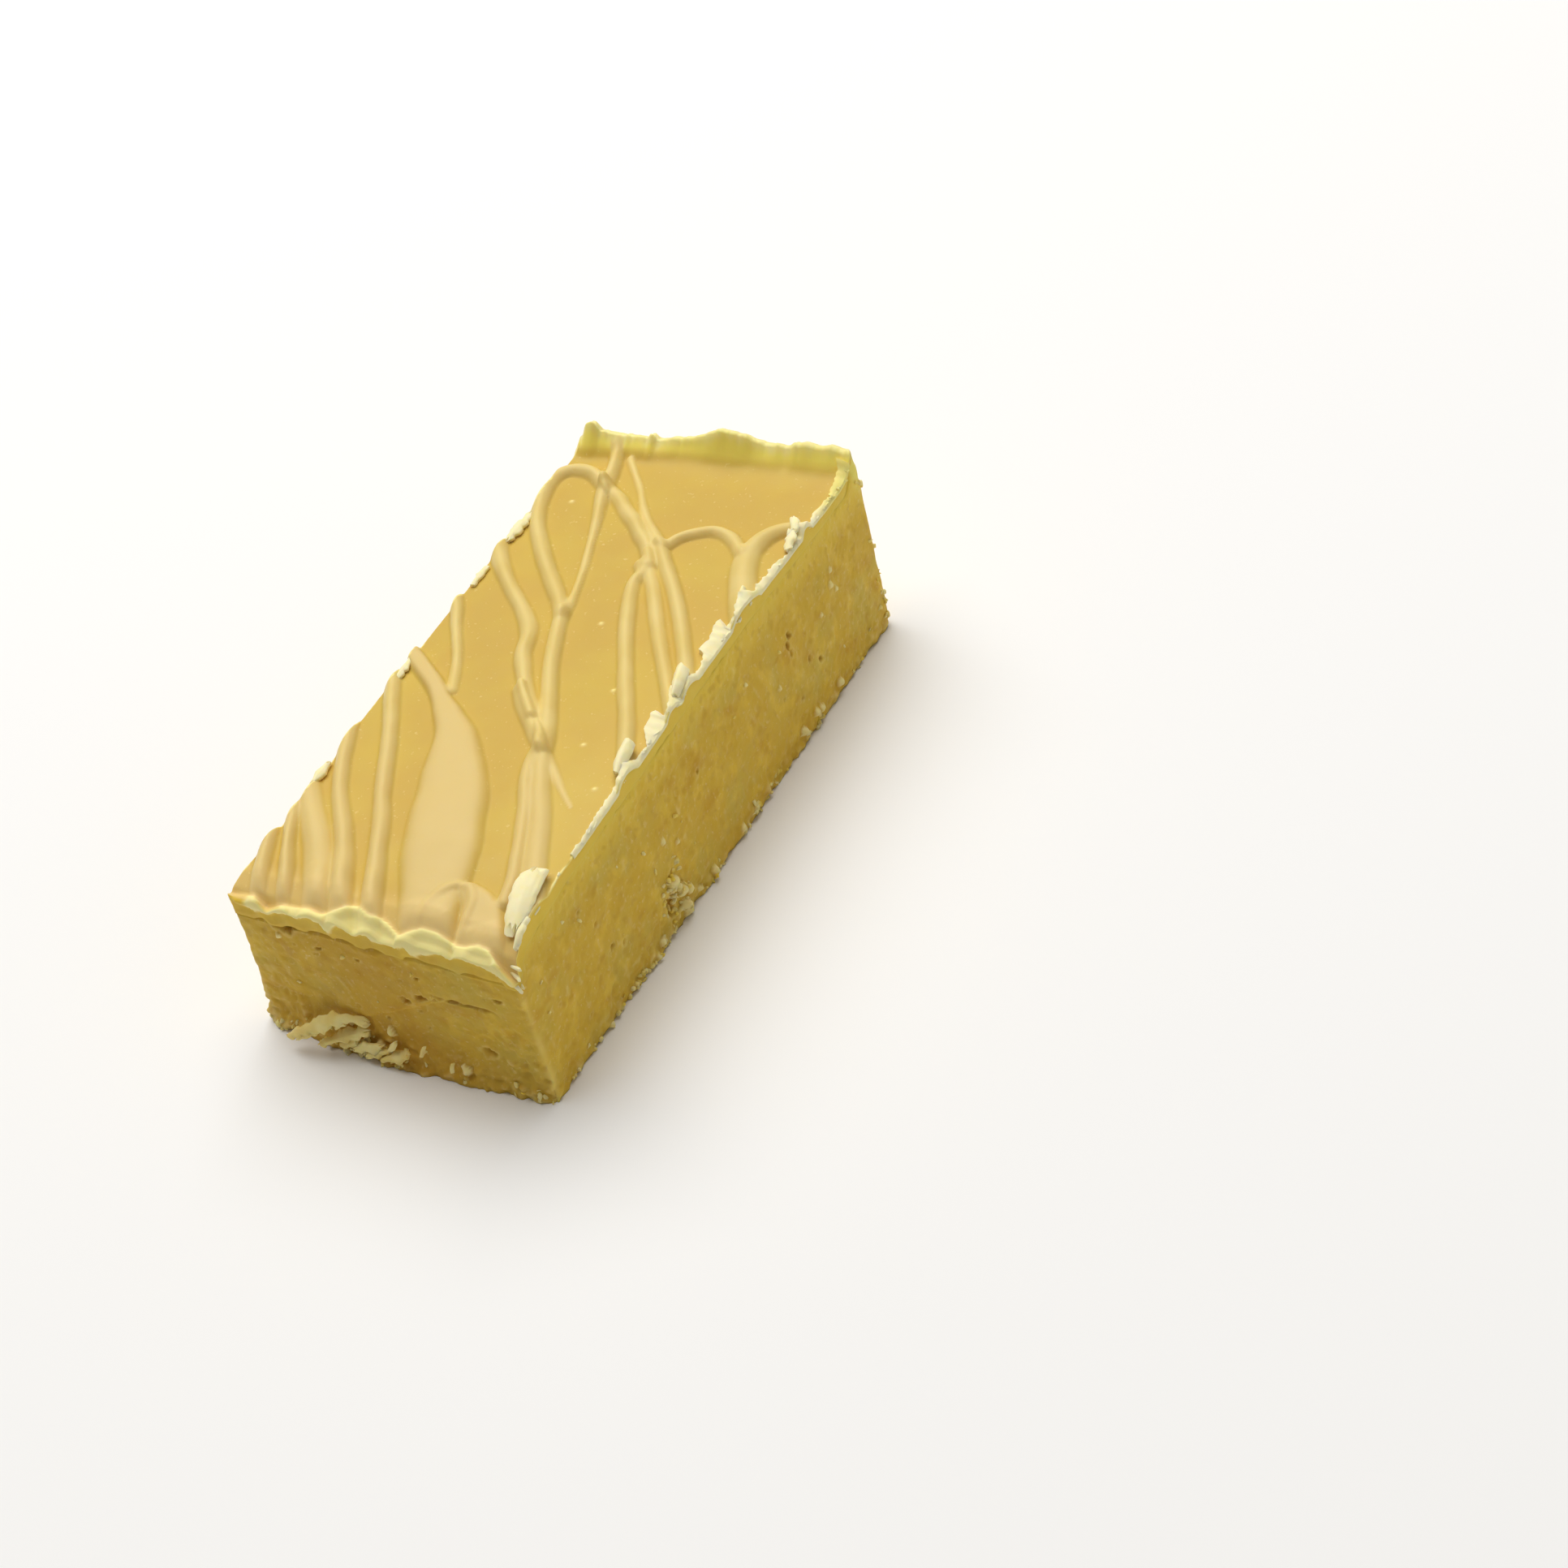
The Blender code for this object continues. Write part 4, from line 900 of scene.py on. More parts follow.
def cut_relief(points, sides, sizes):
    """How far each point of the cut faces stands out (mm), how pale it is, and how much painted shade lies on
    it in pits and along the crack.
    """
    x, y, z = points.T
    place = np.where(np.isin(sides, ("near", "far")), x, y)
    cut = (sides == "near") | (sides == "right") | (sides == "left")
    wavy = 0.16 * noise(points, 7.0, 1) + 0.06 * noise(points, 3.0, 2)
    low = smooth((9.0 - z) / 9.0)
    patch = smooth(0.5 + 0.9 * noise(points, 8.0, 3))
    rough = np.clip(0.2 + 0.45 * patch + 0.5 * low, 0, 1) * sizes.grain
    grain = 0.11 * noise(points, 1.9, 4) + 0.1 * noise(points, 0.95, 5) + 0.08 * noise(points, 0.6, 6)
    # The knife dragged short ridges down the face, leaning a little along it
    drag = np.stack((0.94 * place + 0.35 * z, (0.94 * z - 0.35 * place) / 4.5, 0.2 * x + 0.2 * y), axis=1)
    streaky = -0.25 + 0.9 * noise(points, 6.0, 8)
    streaky = streaky + 0.9 * bump(y, 26.0, 13.0) * bump(z, 13.0, 8.0) * (sides == "right")
    torn = smooth((noise(drag, 0.62, 7) - 0.3) / 0.4) * smooth(streaky)
    near_extra = 1 + 0.6 * (sides == "near")
    relief = wavy * near_extra + rough * grain * 2.0 * near_extra + 0.26 * torn * cut * sizes.grain
    # Along the foot the cut crumbled
    crumble = smooth((3.4 - z) / 3.4)
    lumps = 0.3 * noise(points, 1.5, 9) + 0.22 * noise(points, 0.8, 10)
    relief += crumble * lumps * np.where(sides == "near", 1.5, 1.0)
    pale = 0.4 * torn * cut + 0.5 * crumble * smooth((lumps - 0.05) / 0.25)
    pale = pale + 0.5 * smooth((grain - 0.1) / 0.1) * rough
    deep = np.zeros(len(points))
    for side, middle, height, half_along, half_up, depth in with_sides(HOLLOWS) + random_pits():
        beside = (np.abs(place - middle) < half_along * 2.2) & (np.abs(z - height) < half_up * 2.2)
        here = (sides == side) & beside
        if not here.any():
            continue
        dx = (place[here] - middle) / half_along
        dz = (z[here] - height) / half_up
        jagged = 0.45 * noise(points[here], 0.7 * (half_along + half_up), 11)
        jagged = jagged + 0.3 * noise(points[here], 0.45, 16)
        r = np.hypot(dx, dz) * (1 + jagged)
        dip = 1 - smooth((r - 0.45) / 0.55)
        rim = bump(r, 1.25, 0.3)
        relief[here] += (-depth * dip + 0.05 * rim) * sizes.pits
        # Painted shade inside the pit
        deep[here] = np.maximum(deep[here], dip * min(0.8, depth / 1.2))
        pale[here] = np.maximum(pale[here] * (1 - dip), 0.22 * rim)
    # A fine crack and the knife's own line on the near cut
    near = sides == "near"
    crack_z = 14.7 - 0.05 * (x - 9.0) + 0.25 * noise(at_height(x, 0.0), 2.0, 12)
    crack = bump(z, crack_z, 0.2) * smooth((x - 7.0) / 1.5) * smooth((17.5 - x) / 2.0) * near
    relief -= 0.55 * crack * (0.6 + 0.6 * noise(points, 1.6, 13))
    line = z - (9.2 + 0.52 * x)
    knife = smooth(line / 0.35) * smooth((x + 11) / 3) * smooth((13 - x) / 3) * near
    relief += 0.42 * knife * (1 - smooth((line - 1.0) / 6.0))
    for side, middle, height, radius in with_sides(LUMPS):
        r = np.hypot(place - middle, z - height) / radius * (1 + 0.3 * noise(points, 0.7 * radius, 14))
        knob = np.sqrt(np.clip(1 - r * r, 0, 1)) * (sides == side)
        relief += 1.1 * radius * knob
        pale = np.maximum(pale, smooth(knob / 0.45))
    # The upright edges of the near end are paler: a painted highlight along them
    corner = 0.6 * bump(x, 22.7, 0.55) * bump(y, NEAR_Y - 0.5, 0.9)
    corner = corner + 0.6 * bump(y, NEAR_Y - 0.4, 0.8) * smooth((-20.6 - x) / 0.8)
    pale = np.maximum(pale, corner * (0.65 + 0.35 * noise(points, 1.2, 15)))
    fade = smooth((HEIGHT + 3 - z) / 2.0)
    # deep is painted shade: inside the pits and along the crack
    return relief * fade, np.clip(pale, 0, 1), np.clip(deep + 0.35 * crack, 0, 1)


def random_pits():
    """Small pits over the cut faces, more of them low down."""
    rng = np.random.default_rng(17)
    pits = []
    for side, count, reach in (("right", 55, 45.0), ("near", 30, 20.0), ("left", 40, 45.0)):
        for _ in range(count):
            place = rng.uniform(-reach, reach)
            height = 1.5 + 21.5 * rng.random() ** 1.25
            size = 0.16 + 0.22 * rng.random() ** 2.5
            half_along = size * rng.uniform(0.8, 1.5)
            pits.append((side, place, height, half_along, size, size * rng.uniform(0.4, 0.9)))
    return pits


def ring_normals(points, rows, columns):
    """Unit normals, pointing out, of a closed band of points."""
    band = points.reshape(rows, columns, 3)
    around = np.roll(band, -1, axis=1) - np.roll(band, 1, axis=1)
    up = np.gradient(band, axis=0)
    normal = np.cross(around, up)
    normal /= np.maximum(np.linalg.norm(normal, axis=2), 1e-9)[:, :, None]
    return normal.reshape(-1, 3)


def make_body(sizes, colours):
    """The dense bar: four faces round it, the lip on top of the tray end, and a flat underside."""
    u, v, sides = side_frame()
    levels = body_rows()
    rows, columns = len(levels), len(u)
    points = bar_points(u[None, :], v[None, :], levels[:, None], body_top).reshape(-1, 3)
    which = np.tile(sides, rows)
    normal = ring_normals(points, rows, columns)
    level = np.repeat(levels, columns)
    normal[:, 2] *= smooth((points[:, 2] - 0.2) / 1.0)
    relief, pale, deep = cut_relief(points, which, sizes)
    relief *= smooth((1.0 - level) / 0.03) * 0.85 + 0.15
    points = points + normal * relief[:, None]
    points[:, 2] = np.maximum(points[:, 2], 0.0)
    points[level == 0.0, 2] = 0.0
    # Where the lip's colour goes, whose yellow is partly painted light for the glow through the thin lip
    lip = smooth((points[:, 1] - 46.5) / 1.5) * smooth((points[:, 2] - 24.0) / 4.0)
    # A painted highlight in the lip's bright colour down the near right upright edge
    edge_highlight = bump(points[:, 0], 22.9, 0.6) * bump(points[:, 1], NEAR_Y - 0.7, 0.9)
    lip = np.maximum(lip, 0.9 * edge_highlight * (0.7 + 0.3 * noise(points, 1.1, 42)))
    crest = smooth((level - 0.94) / 0.05) * smooth((1.2 - behind_lip(points[:, 0], points[:, 1])) / 0.6)
    faces = grid_faces(rows, columns, closed=True)

    top_ring = points[-columns:]
    seat = grid_plan(np.arange(-20.5, 21.6, 2.6), np.arange(-44.5, 44.0, 3.0))
    slope = grid_plan(np.arange(-21.0, 21.9, 0.45), np.arange(44.0, 49.3, 0.24))
    inner = np.vstack((seat, slope))
    within = (inner[:, 0] > -21.2) & (inner[:, 0] < 22.0) & (behind_lip(inner[:, 0], inner[:, 1]) > 0.3)
    inner = inner[(clearance(inner, top_ring) > 0.3) & within]
    heights = body_top(inner[:, 0], inner[:, 1])
    heights += 0.05 * noise(at_height(inner[:, 0], inner[:, 1]), 1.2, 41) * smooth((inner[:, 1] - 46) / 1.0)
    top_numbers = list(range((rows - 1) * columns, rows * columns))
    faces += cap(top_ring[:, :2], inner, top_numbers, len(points))
    points = np.vstack((points, np.column_stack((inner, heights))))
    off_crest = behind_lip(inner[:, 0], inner[:, 1])
    crest = np.concatenate((crest, smooth((2.2 - off_crest) / 1.2)))
    lip = np.concatenate((lip, smooth((LIP_WIDTH - off_crest) / 0.8)))

    foot_ring = points[:columns]
    under = grid_plan(np.arange(-21.5, 21.9, 3.0), np.arange(-46.0, 47.5, 3.0))
    within = (under[:, 0] > -21.6) & (under[:, 0] < 21.9)
    under = under[(clearance(under, foot_ring) > 0.6) & within]
    base = cap(foot_ring[:, :2], under, list(range(columns)), len(points))
    faces += [face[::-1] for face in base]
    points = np.vstack((points, np.column_stack((under, np.zeros(len(under))))))

    wall = points[:rows * columns]
    # Painted shade: the near face is darker than the right one, more so towards its foot, where less light
    # falls
    front = 0.5 * bump(wall[:, 0], -2.0, 12.0) + 0.35 * smooth((9.0 - wall[:, 2]) / 9.0)
    spare = np.full(len(points) - len(wall), "top")
    values = {
        "front": (which == "near") * front,
        "pale": pale,
        "deep": deep,
        "lip": lip,
        "crest": crest,
        "crumbs": crumb_places(points, np.concatenate((which, spare))),
    }
    body = make_piece("fudge_body", points, faces, values, fudge_material(colours))
    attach(body, "root")
    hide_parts("fudge")
    return body


def crumb_places(points, sides):
    """How thickly crumbs lie at each point of the body."""
    x, y, z = points.T
    wall = np.isin(sides, ("near", "right", "left"))
    foot = smooth((2.6 - z) / 2.4) * (z > 0.25) * wall
    patchy = smooth(0.4 + 1.1 * noise(points, 5.0, 21))
    tear = bump(y, -15.0, 1.9) * bump(z, 5.2, 4.2) * (sides == "right")
    corner = bump(x, -6.0, 6.0) * smooth((4.5 - z) / 3.0) * (sides == "near") * (z > 0.3)
    scatter = 0.006 * wall * (z > 3) * (z < 22)
    tray = 0.04 * (sides == "far") * (z > 0.5)
    tray = tray + 0.3 * smooth((y - 47.0) / 1.0) * (sides == "right") * (z > 1)
    return np.clip(0.75 * foot * patchy + tear + corner + scatter + tray * patchy, 0, 1)


def soft_most(a, b, blend):
    """The larger of two heights, with a round join."""
    return blend * np.logaddexp(a / blend, b / blend)


def skin_relief(x, y):
    """Height of the topping at each (x, y), and the values that colour it."""
    drizzle, inside, broad = drizzle_relief(x, y)
    flat = at_height(x, y)
    base = top_surface(x, y)
    uneven = 0.07 * noise(flat, 9.0, 51) + 0.025 * noise(flat, 2.2, 52)
    # Towards the near cut the lines sink into the edge that the knife rolled
    off_near = y - NEAR_Y
    drizzle = drizzle * (1 - 0.25 * smooth((6.0 - off_near) / 4.0))
    drizzle = drizzle * (1 - 0.5 * smooth((2.6 - off_near) / 2.0))
    # The skin climbs before the lip and covers its inner slope and crest
    off_far = behind_lip(x, y)
    climb = 0.5 * np.clip((8.0 - off_far) / 4.5, 0, 1) ** 2 * smooth((x + 12.0) / 12.0)
    lumpy = 0.16 * noise(flat, 2.2, 66) * smooth((LIP_WIDTH - off_far) / 2.0)
    lip_level = fudge_top(x, y) - base + lumpy + 0.16 - 0.75 * smooth((0.95 - off_far) / 0.6)
    height = base + soft_most(drizzle + uneven + climb, lip_level, 0.55)
    under = below_tops(x, off_near, height)
    height = height - 0.8 * np.maximum(-under, 0) * smooth((1.3 - off_near) / 1.1)
    height = height + ROLL_HEIGHT * bump(under, 0.85, 0.75) * smooth((4.4 - off_near) / 1.5)
    cream = smooth(under / 0.35) * smooth((4.2 - off_near) / 0.6) * smooth((x + 18.6) / 1.2)
    crest_line = at_height(x, 0.0)
    worn = 2.2 + 0.3 * noise(crest_line, 2.0, 64) + 0.2 * noise(crest_line, 0.6, 65)
    crest = smooth((worn - off_far) / 1.4)
    for speck_x, speck_y in SKIN_CRUMBS:
        speck = bump(x, speck_x, 0.32) * bump(y, speck_y, 0.28)
        height = height + 0.15 * speck
        cream = np.maximum(cream, speck)
    lip = smooth((height - base - 0.35) / 1.5) * smooth((LIP_WIDTH + 0.5 - off_far) / 1.0)
    # Painted light: a paler peach band along the near cut that lifts the shade behind the rolled bead
    painted_band_light = 0.42 * smooth((6.0 - off_near) / 4.5)
    looks = {"drizzle": inside, "broad": broad, "cream": cream, "lip": lip, "crest": crest, "painted_band_light": painted_band_light}
    return height, looks


def below_tops(x, off_near, height):
    """How far a point would lie under the line of the bead's tops, if it slid forward onto the near cut.

    It slides along the slope of VIEW_ACROSS and VIEW_DOWN. The line is evened over a short stretch.
    """
    tops = np.array(RIM_TOPS)
    across = x + VIEW_ACROSS * off_near
    around = [np.interp(across + step, tops[:, 0], tops[:, 1]) for step in (-0.3, -0.1, 0.1, 0.3)]
    return sum(around) / 4 - height - VIEW_DOWN * off_near


def edge_stations(count, reach):
    """Even fractions from 0 to 1, with extra ones close to each end."""
    extra = np.linspace(0, reach, SKIN_EDGE_COLUMNS, endpoint=False)
    return np.concatenate((extra, np.linspace(reach, 1 - reach, count), 1 - extra[::-1]))


def topping_wall(brim, side):
    """Rings of points down the topping's wall from its brim to its hem, each with its share of cream."""
    toward = {"near": (0.0, -1.0), "right": (1.0, 0.0), "far": (0.0, 1.0), "left": (-1.0, 0.0)}
    normal = np.array([toward[s] for s in side])
    seat = top_surface(brim[:, 0], brim[:, 1]) - TOPPING - GAP
    bottom = seat - 0.35 - BEAD_SINK * smooth((3.5 - (brim[:, 1] - NEAR_Y)) / 2.5)
    whole = brim[:, 2] - bottom
    on_near = (side == "near") * smooth((brim[:, 0] + 20.8) / 1.5) * smooth((22.8 - brim[:, 0]) / 1.0)
    line = at_height(brim[:, 0], brim[:, 1])
    foot = np.interp(brim[:, 0], *np.array(RIM_FOOT).T) + BEAD_FOOT_LIFT
    reach = np.maximum(brim[:, 2] - foot, 0.45) + 0.35 * noise(line, 1.3, 58) + 0.28 * noise(line, 0.5, 59)
    bands = []
    for n, depth in enumerate(WALL_DEPTHS):
        down = np.minimum(depth, whole * (n + 1) / len(WALL_DEPTHS))
        z = brim[:, 2] - down
        bead = np.sqrt(np.clip(np.sin(math.pi * np.clip(0.12 + 0.88 * down / (reach + 0.25), 0, 1)), 0, 1))
        here = np.column_stack((brim[:, :2], z))
        rough = noise(here, 0.7, 70) * 0.07 + noise(here, 1.7, 71) * 0.1
        out = on_near * (0.1 + 0.5 * bead + 0.9 * rough) + (1 - on_near) * (0.05 + rough * 0.6)
        if depth == WALL_DEPTHS[-1]:
            out = np.full(len(brim), -0.7)
        place = brim[:, :2] + normal * out[:, None]
        rolled = (1 - smooth((down - reach + 0.1) / 0.5)) * on_near * smooth((brim[:, 0] + 18.6) / 1.2)
        creamy = np.where(side == "near", rolled, 0.8 * smooth((0.25 - down) / 0.2))
        bands.append((np.column_stack((place, z)), creamy))
    return bands


def make_topping(colours):
    """The thin set topping: one dense sheet with its drizzle, walls on its four cuts, and an underside."""
    u = edge_stations(SKIN_COLUMNS - 2 * SKIN_EDGE_COLUMNS, 0.017)
    v = np.linspace(0, SKIN_END, SKIN_ROWS + 1)
    columns, rows = len(u), len(v)
    plan = bar_points(u[None, :], v[:, None], 1.0, top_surface).reshape(-1, 3)
    x, y = plan[:, 0], plan[:, 1]
    height, looks = skin_relief(x, y)
    right_gap = right_side(v, 1.0)[:, None] - x.reshape(rows, columns)
    left_gap = x.reshape(rows, columns) - left_side(v, 1.0)[:, None]
    edge = np.minimum(right_gap, left_gap).reshape(-1)
    ragged = 0.12 + 0.25 * noise(at_height(0.0, y), 1.6, 56) + 0.14 * noise(at_height(0.0, y), 0.5, 57)
    torn = 0.95 * smooth((ragged - edge) / 0.12) * smooth((y - NEAR_Y - 1.5) / 2)
    looks["cream"] = np.maximum(looks["cream"], torn)
    points = np.column_stack((x, y, height))
    faces = grid_faces(rows, columns)

    near = list(range(columns))
    right = [j * columns + columns - 1 for j in range(1, rows)]
    far = [(rows - 1) * columns + i for i in range(columns - 2, -1, -1)]
    left = [j * columns for j in range(rows - 2, 0, -1)]
    upper = near + right + far + left
    side = np.repeat(("near", "right", "far", "left"), (len(near), len(right), len(far), len(left)))
    bands = topping_wall(points[upper], side)
    first, count = len(points), len(upper)
    for n in range(len(bands)):
        lower = list(range(first + n * count, first + (n + 1) * count))
        faces += band_faces(upper, lower)
        upper = lower
    points = np.vstack([points] + [band for band, _ in bands])
    looks["cream"] = np.concatenate([looks["cream"]] + [creamy for _, creamy in bands])

    hem_ring = bands[-1][0]
    under = grid_plan(np.arange(-18.6, 21.0, 3.0), np.arange(-45.0, 45.0, 3.0))
    under = under[clearance(under, hem_ring) > 0.5]
    base = cap(hem_ring[:, :2], under, upper, len(points))
    faces += [face[::-1] for face in base]
    below = top_surface(under[:, 0], under[:, 1]) - TOPPING
    points = np.vstack((points, np.column_stack((under, below))))

    looks["cut"] = np.concatenate((np.zeros(len(x)), np.ones(len(points) - len(x))))
    # Painted sheen: a broad brighter patch towards the near right of the skin, and a small one near the far
    # end
    painted_sheen = 0.6 * bump(x, 17.0, 7.0) * bump(y, -24.0, 15.0)
    looks["painted_sheen"] = painted_sheen + 0.9 * bump(x, 12.5, 0.8) * bump(y, 45.9, 0.7)
    topping = make_piece("topping_sheet", points, faces, looks, skin_material(colours))
    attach(topping, "root")
    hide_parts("topping")
    return topping


def gather(parts):
    """One set of points and faces from several (points, faces)."""
    points, faces, first = [], [], 0
    for some, own in parts:
        faces += [tuple(i + first for i in face) for face in own]
        points.append(some)
        first += len(some)
    return np.vstack(points), faces


def torn_edge():
    """The strip of cream shards along the right cut, lifted where it reaches in, closed all round."""
    tear = np.array(EDGE_TEAR)
    travelled = np.concatenate(([0], np.cumsum(np.hypot(*np.diff(tear, axis=0).T))))
    even = np.linspace(0, travelled[-1], round(travelled[-1] / 0.16))
    y = np.interp(even, travelled, tear[:, 0])
    reach = TEAR_SHARE * np.interp(even, travelled, tear[:, 1])
    reach = reach * (1 - 0.4 * smooth((y - 34) / 3)) + 0.14 * noise(at_height(0.0, even), 0.45, 91)
    y_cut = np.minimum.accumulate(y)
    x_cut = right_cut(y_cut) + 0.08
    x = right_cut(y) - np.maximum(reach, 0.1)
    skin = np.maximum(skin_relief(x, y)[0], top_surface(x, y))
    skin_cut = skin_relief(x_cut - 0.4, y_cut)[0]
    lift = 0.16 + 0.32 * np.clip(reach, 0, 1.7) + 0.14 * noise(at_height(0.0, even), 0.8, 92)
    rings = [np.column_stack((x, y, skin - 0.2)), np.column_stack((x + 0.04, y, skin + lift))]
    for share in (0.25, 0.5, 0.75, 1.0):
        across, down = x + (x_cut - x) * share, y + (y_cut - y) * share
        level = (skin + lift) * (1 - share) + (skin_cut + 0.1) * share + 0.12 * math.sin(math.pi * share)
        grain = 0.1 * noise(np.column_stack((across, down, level)), 0.7, 93)
        rings.append(np.column_stack((across, down, level + grain)))
    rings.append(np.column_stack((x_cut + 0.1, y_cut, skin_cut - 0.25)))
    rings.append(np.column_stack((x_cut - 0.1, y_cut, skin_cut - 0.7)))
    points = np.stack(rings, axis=1).reshape(-1, 3)
    sections, around = len(even), len(rings)
    faces = grid_faces(sections, around, closed=True)
    faces += [list(range(around))[::-1], [(sections - 1) * around + k for k in range(around)]]
    return points, outward(points, faces)


def make_flakes(sizes, colours):
    """Cream flakes of topping that the knife peeled back along the cuts."""
    parts = []
    rng = np.random.default_rng(5)
    thickness = sizes.flake / MM
    for seed, (points, widths, cup, lean) in enumerate((FLAKES | LEFT_FLAKES).values()):
        path = curve_through(points, 0.2)
        ground = top_surface(path[:, 0], path[:, 1])
        path = np.column_stack((path[:, :2], ground + path[:, 2]))
        parts.append(shell(path, widths, cup, lean, thickness, seed + 3, 0.12 if cup > 0.35 else 0.4))
    for seed in range(SLIVERS + FAR_SLIVERS):
        y = rng.uniform(-46, 44) if seed < SLIVERS else rng.uniform(34.0, 47.5)
        x = float(right_cut(y)) - rng.uniform(-0.1, 0.3)
        length, turn = rng.uniform(0.5, 1.5), rng.uniform(-0.5, 0.5)
        step = np.array((math.sin(turn), math.cos(turn))) * length / 2
        ends = [(x - step[0], y - step[1]), (x, y), (x + step[0], y + step[1])]
        level = max(float(top_surface(x, y)), float(fudge_top(x, y)))
        path = curve_through([(a, b, level + rng.uniform(0.0, 0.3)) for a, b in ends], 0.2)
        widths, lean = [rng.uniform(0.25, 0.55)], rng.uniform(-60, 10)
        parts.append(shell(path, widths, 0.05, lean, 0.25, seed + 90, 0.4))
    parts.append(torn_edge())
    for seed, points in enumerate(SPLINTERS):
        parts.append(shell(curve_through(points, 0.15), [0.9, 0.7, 0.35], 0.1, 20, 0.35, seed + 200, 0.4))
    points, faces = gather(parts)
    values = {"yellow": 0.75 * smooth((points[:, 1] - 36.5) / 5.0)}
    flakes = make_piece("cream_flakes", points, faces, values, cream_material(colours), 32)
    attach(flakes, "root")
    return flakes


def make_tongues():
    """Torn tongues of fudge that hang off the foot of the near end."""
    parts = []
    for seed, (points, widths, thickness, lean) in enumerate(TONGUES.values()):
        some, faces = shell(curve_through(points, 0.22), widths, 0.25, lean, thickness, seed + 400, 0.6)
        some[:, 2] = np.maximum(some[:, 2], 0.05)
        parts.append((some, faces))
    points, faces = gather(parts)
    values = dict.fromkeys(("deep", "lip", "crest", "front"), np.zeros(len(points)))
    values["pale"] = 0.55 + 0.45 * smooth(0.4 + 0.8 * noise(points, 1.5, 81))
    tongues = make_piece("torn_tongues", points, faces, values, bpy.data.materials["cut_fudge"], 36)
    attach(tongues, "root")
    return tongues


# Crumbs


def crumb_tree(material, sizes):
    """Geometry Nodes that scatter rough crumbs over a surface by its crumbs value."""
    tree = bpy.data.node_groups.new("crumb_scatter", "GeometryNodeTree")
    face, nodes = tree.interface, tree.nodes
    face.new_socket("Geometry", in_out="INPUT", socket_type="NodeSocketGeometry")
    for name, value in sizes.items():
        kind = "NodeSocketInt" if name == "Seed" else "NodeSocketFloat"
        face.new_socket(name, in_out="INPUT", socket_type=kind).default_value = value
    face.new_socket("Geometry", in_out="OUTPUT", socket_type="NodeSocketGeometry")

    def add(kind, inputs=None, **settings):
        """A new node with its settings, and with values on its inputs."""
        node = nodes.new(kind)
        for key, value in settings.items():
            setattr(node, key, value)
        for key, value in (inputs or {}).items():
            node.inputs[key].default_value = value
        return node

    given, result = add("NodeGroupInput"), add("NodeGroupOutput")
    lying = add("GeometryNodeInputNamedAttribute", {"Name": "crumbs"}, data_type="FLOAT")
    thickness = add("ShaderNodeMath", operation="MULTIPLY")
    scatter = add("GeometryNodeDistributePointsOnFaces")
    crumb = add("GeometryNodeMeshCube", {"Size": (2.0, 2.0, 2.0)})
    blunted = add("GeometryNodeSubdivisionSurface", {"Level": 1})
    turn = add("FunctionNodeRandomValue", data_type="FLOAT_VECTOR")
    turn.inputs["Max"].default_value = (math.tau, math.tau, math.tau)
    grown = add("FunctionNodeRandomValue", data_type="FLOAT_VECTOR")
    smallest, largest = add("ShaderNodeCombineXYZ"), add("ShaderNodeCombineXYZ")
    place, real = add("GeometryNodeInstanceOnPoints"), add("GeometryNodeRealizeInstances")
    where = add("GeometryNodeInputPosition")
    texture = add("ShaderNodeTexNoise", {"Scale": 1100.0, "Detail": 1.0})
    centred = add("ShaderNodeVectorMath", {1: (0.5, 0.5, 0.5)}, operation="SUBTRACT")
    strong = add("ShaderNodeVectorMath", operation="SCALE")
    doubled = add("ShaderNodeMath", {1: 3.0}, operation="MULTIPLY")
    roughen = add("GeometryNodeSetPosition")
    paint = add("GeometryNodeSetMaterial", {"Material": material})
    joins = [
        (given, "Geometry", scatter, "Mesh"), (lying, "Attribute", thickness, 0),
        (given, "Density", thickness, 1), (thickness, 0, scatter, "Density"),
        (given, "Seed", scatter, "Seed"), (scatter, "Points", place, "Points"),
        (crumb, "Mesh", blunted, "Mesh"), (blunted, "Mesh", place, "Instance"),
        (given, "Seed", turn, "Seed"), (given, "Seed", grown, "Seed"), (smallest, 0, grown, "Min"),
        (largest, 0, grown, "Max"), (turn, "Value", place, "Rotation"), (grown, "Value", place, "Scale"),
        (place, "Instances", real, "Geometry"), (where, "Position", texture, "Vector"),
        (texture, "Color", centred, 0), (centred, "Vector", strong, 0), (given, "Roughness", doubled, 0),
        (doubled, 0, strong, "Scale"), (real, "Geometry", roughen, "Geometry"),
        (strong, "Vector", roughen, "Offset"), (roughen, "Geometry", paint, "Geometry"),
        (paint, "Geometry", result, "Geometry"),
    ]
    joins += [(given, "Smallest", smallest, axis) for axis in range(3)]
    joins += [(given, "Largest", largest, axis) for axis in range(3)]
    for source, output, target, socket in joins:
        tree.links.new(source.outputs[output], target.inputs[socket])
    return tree


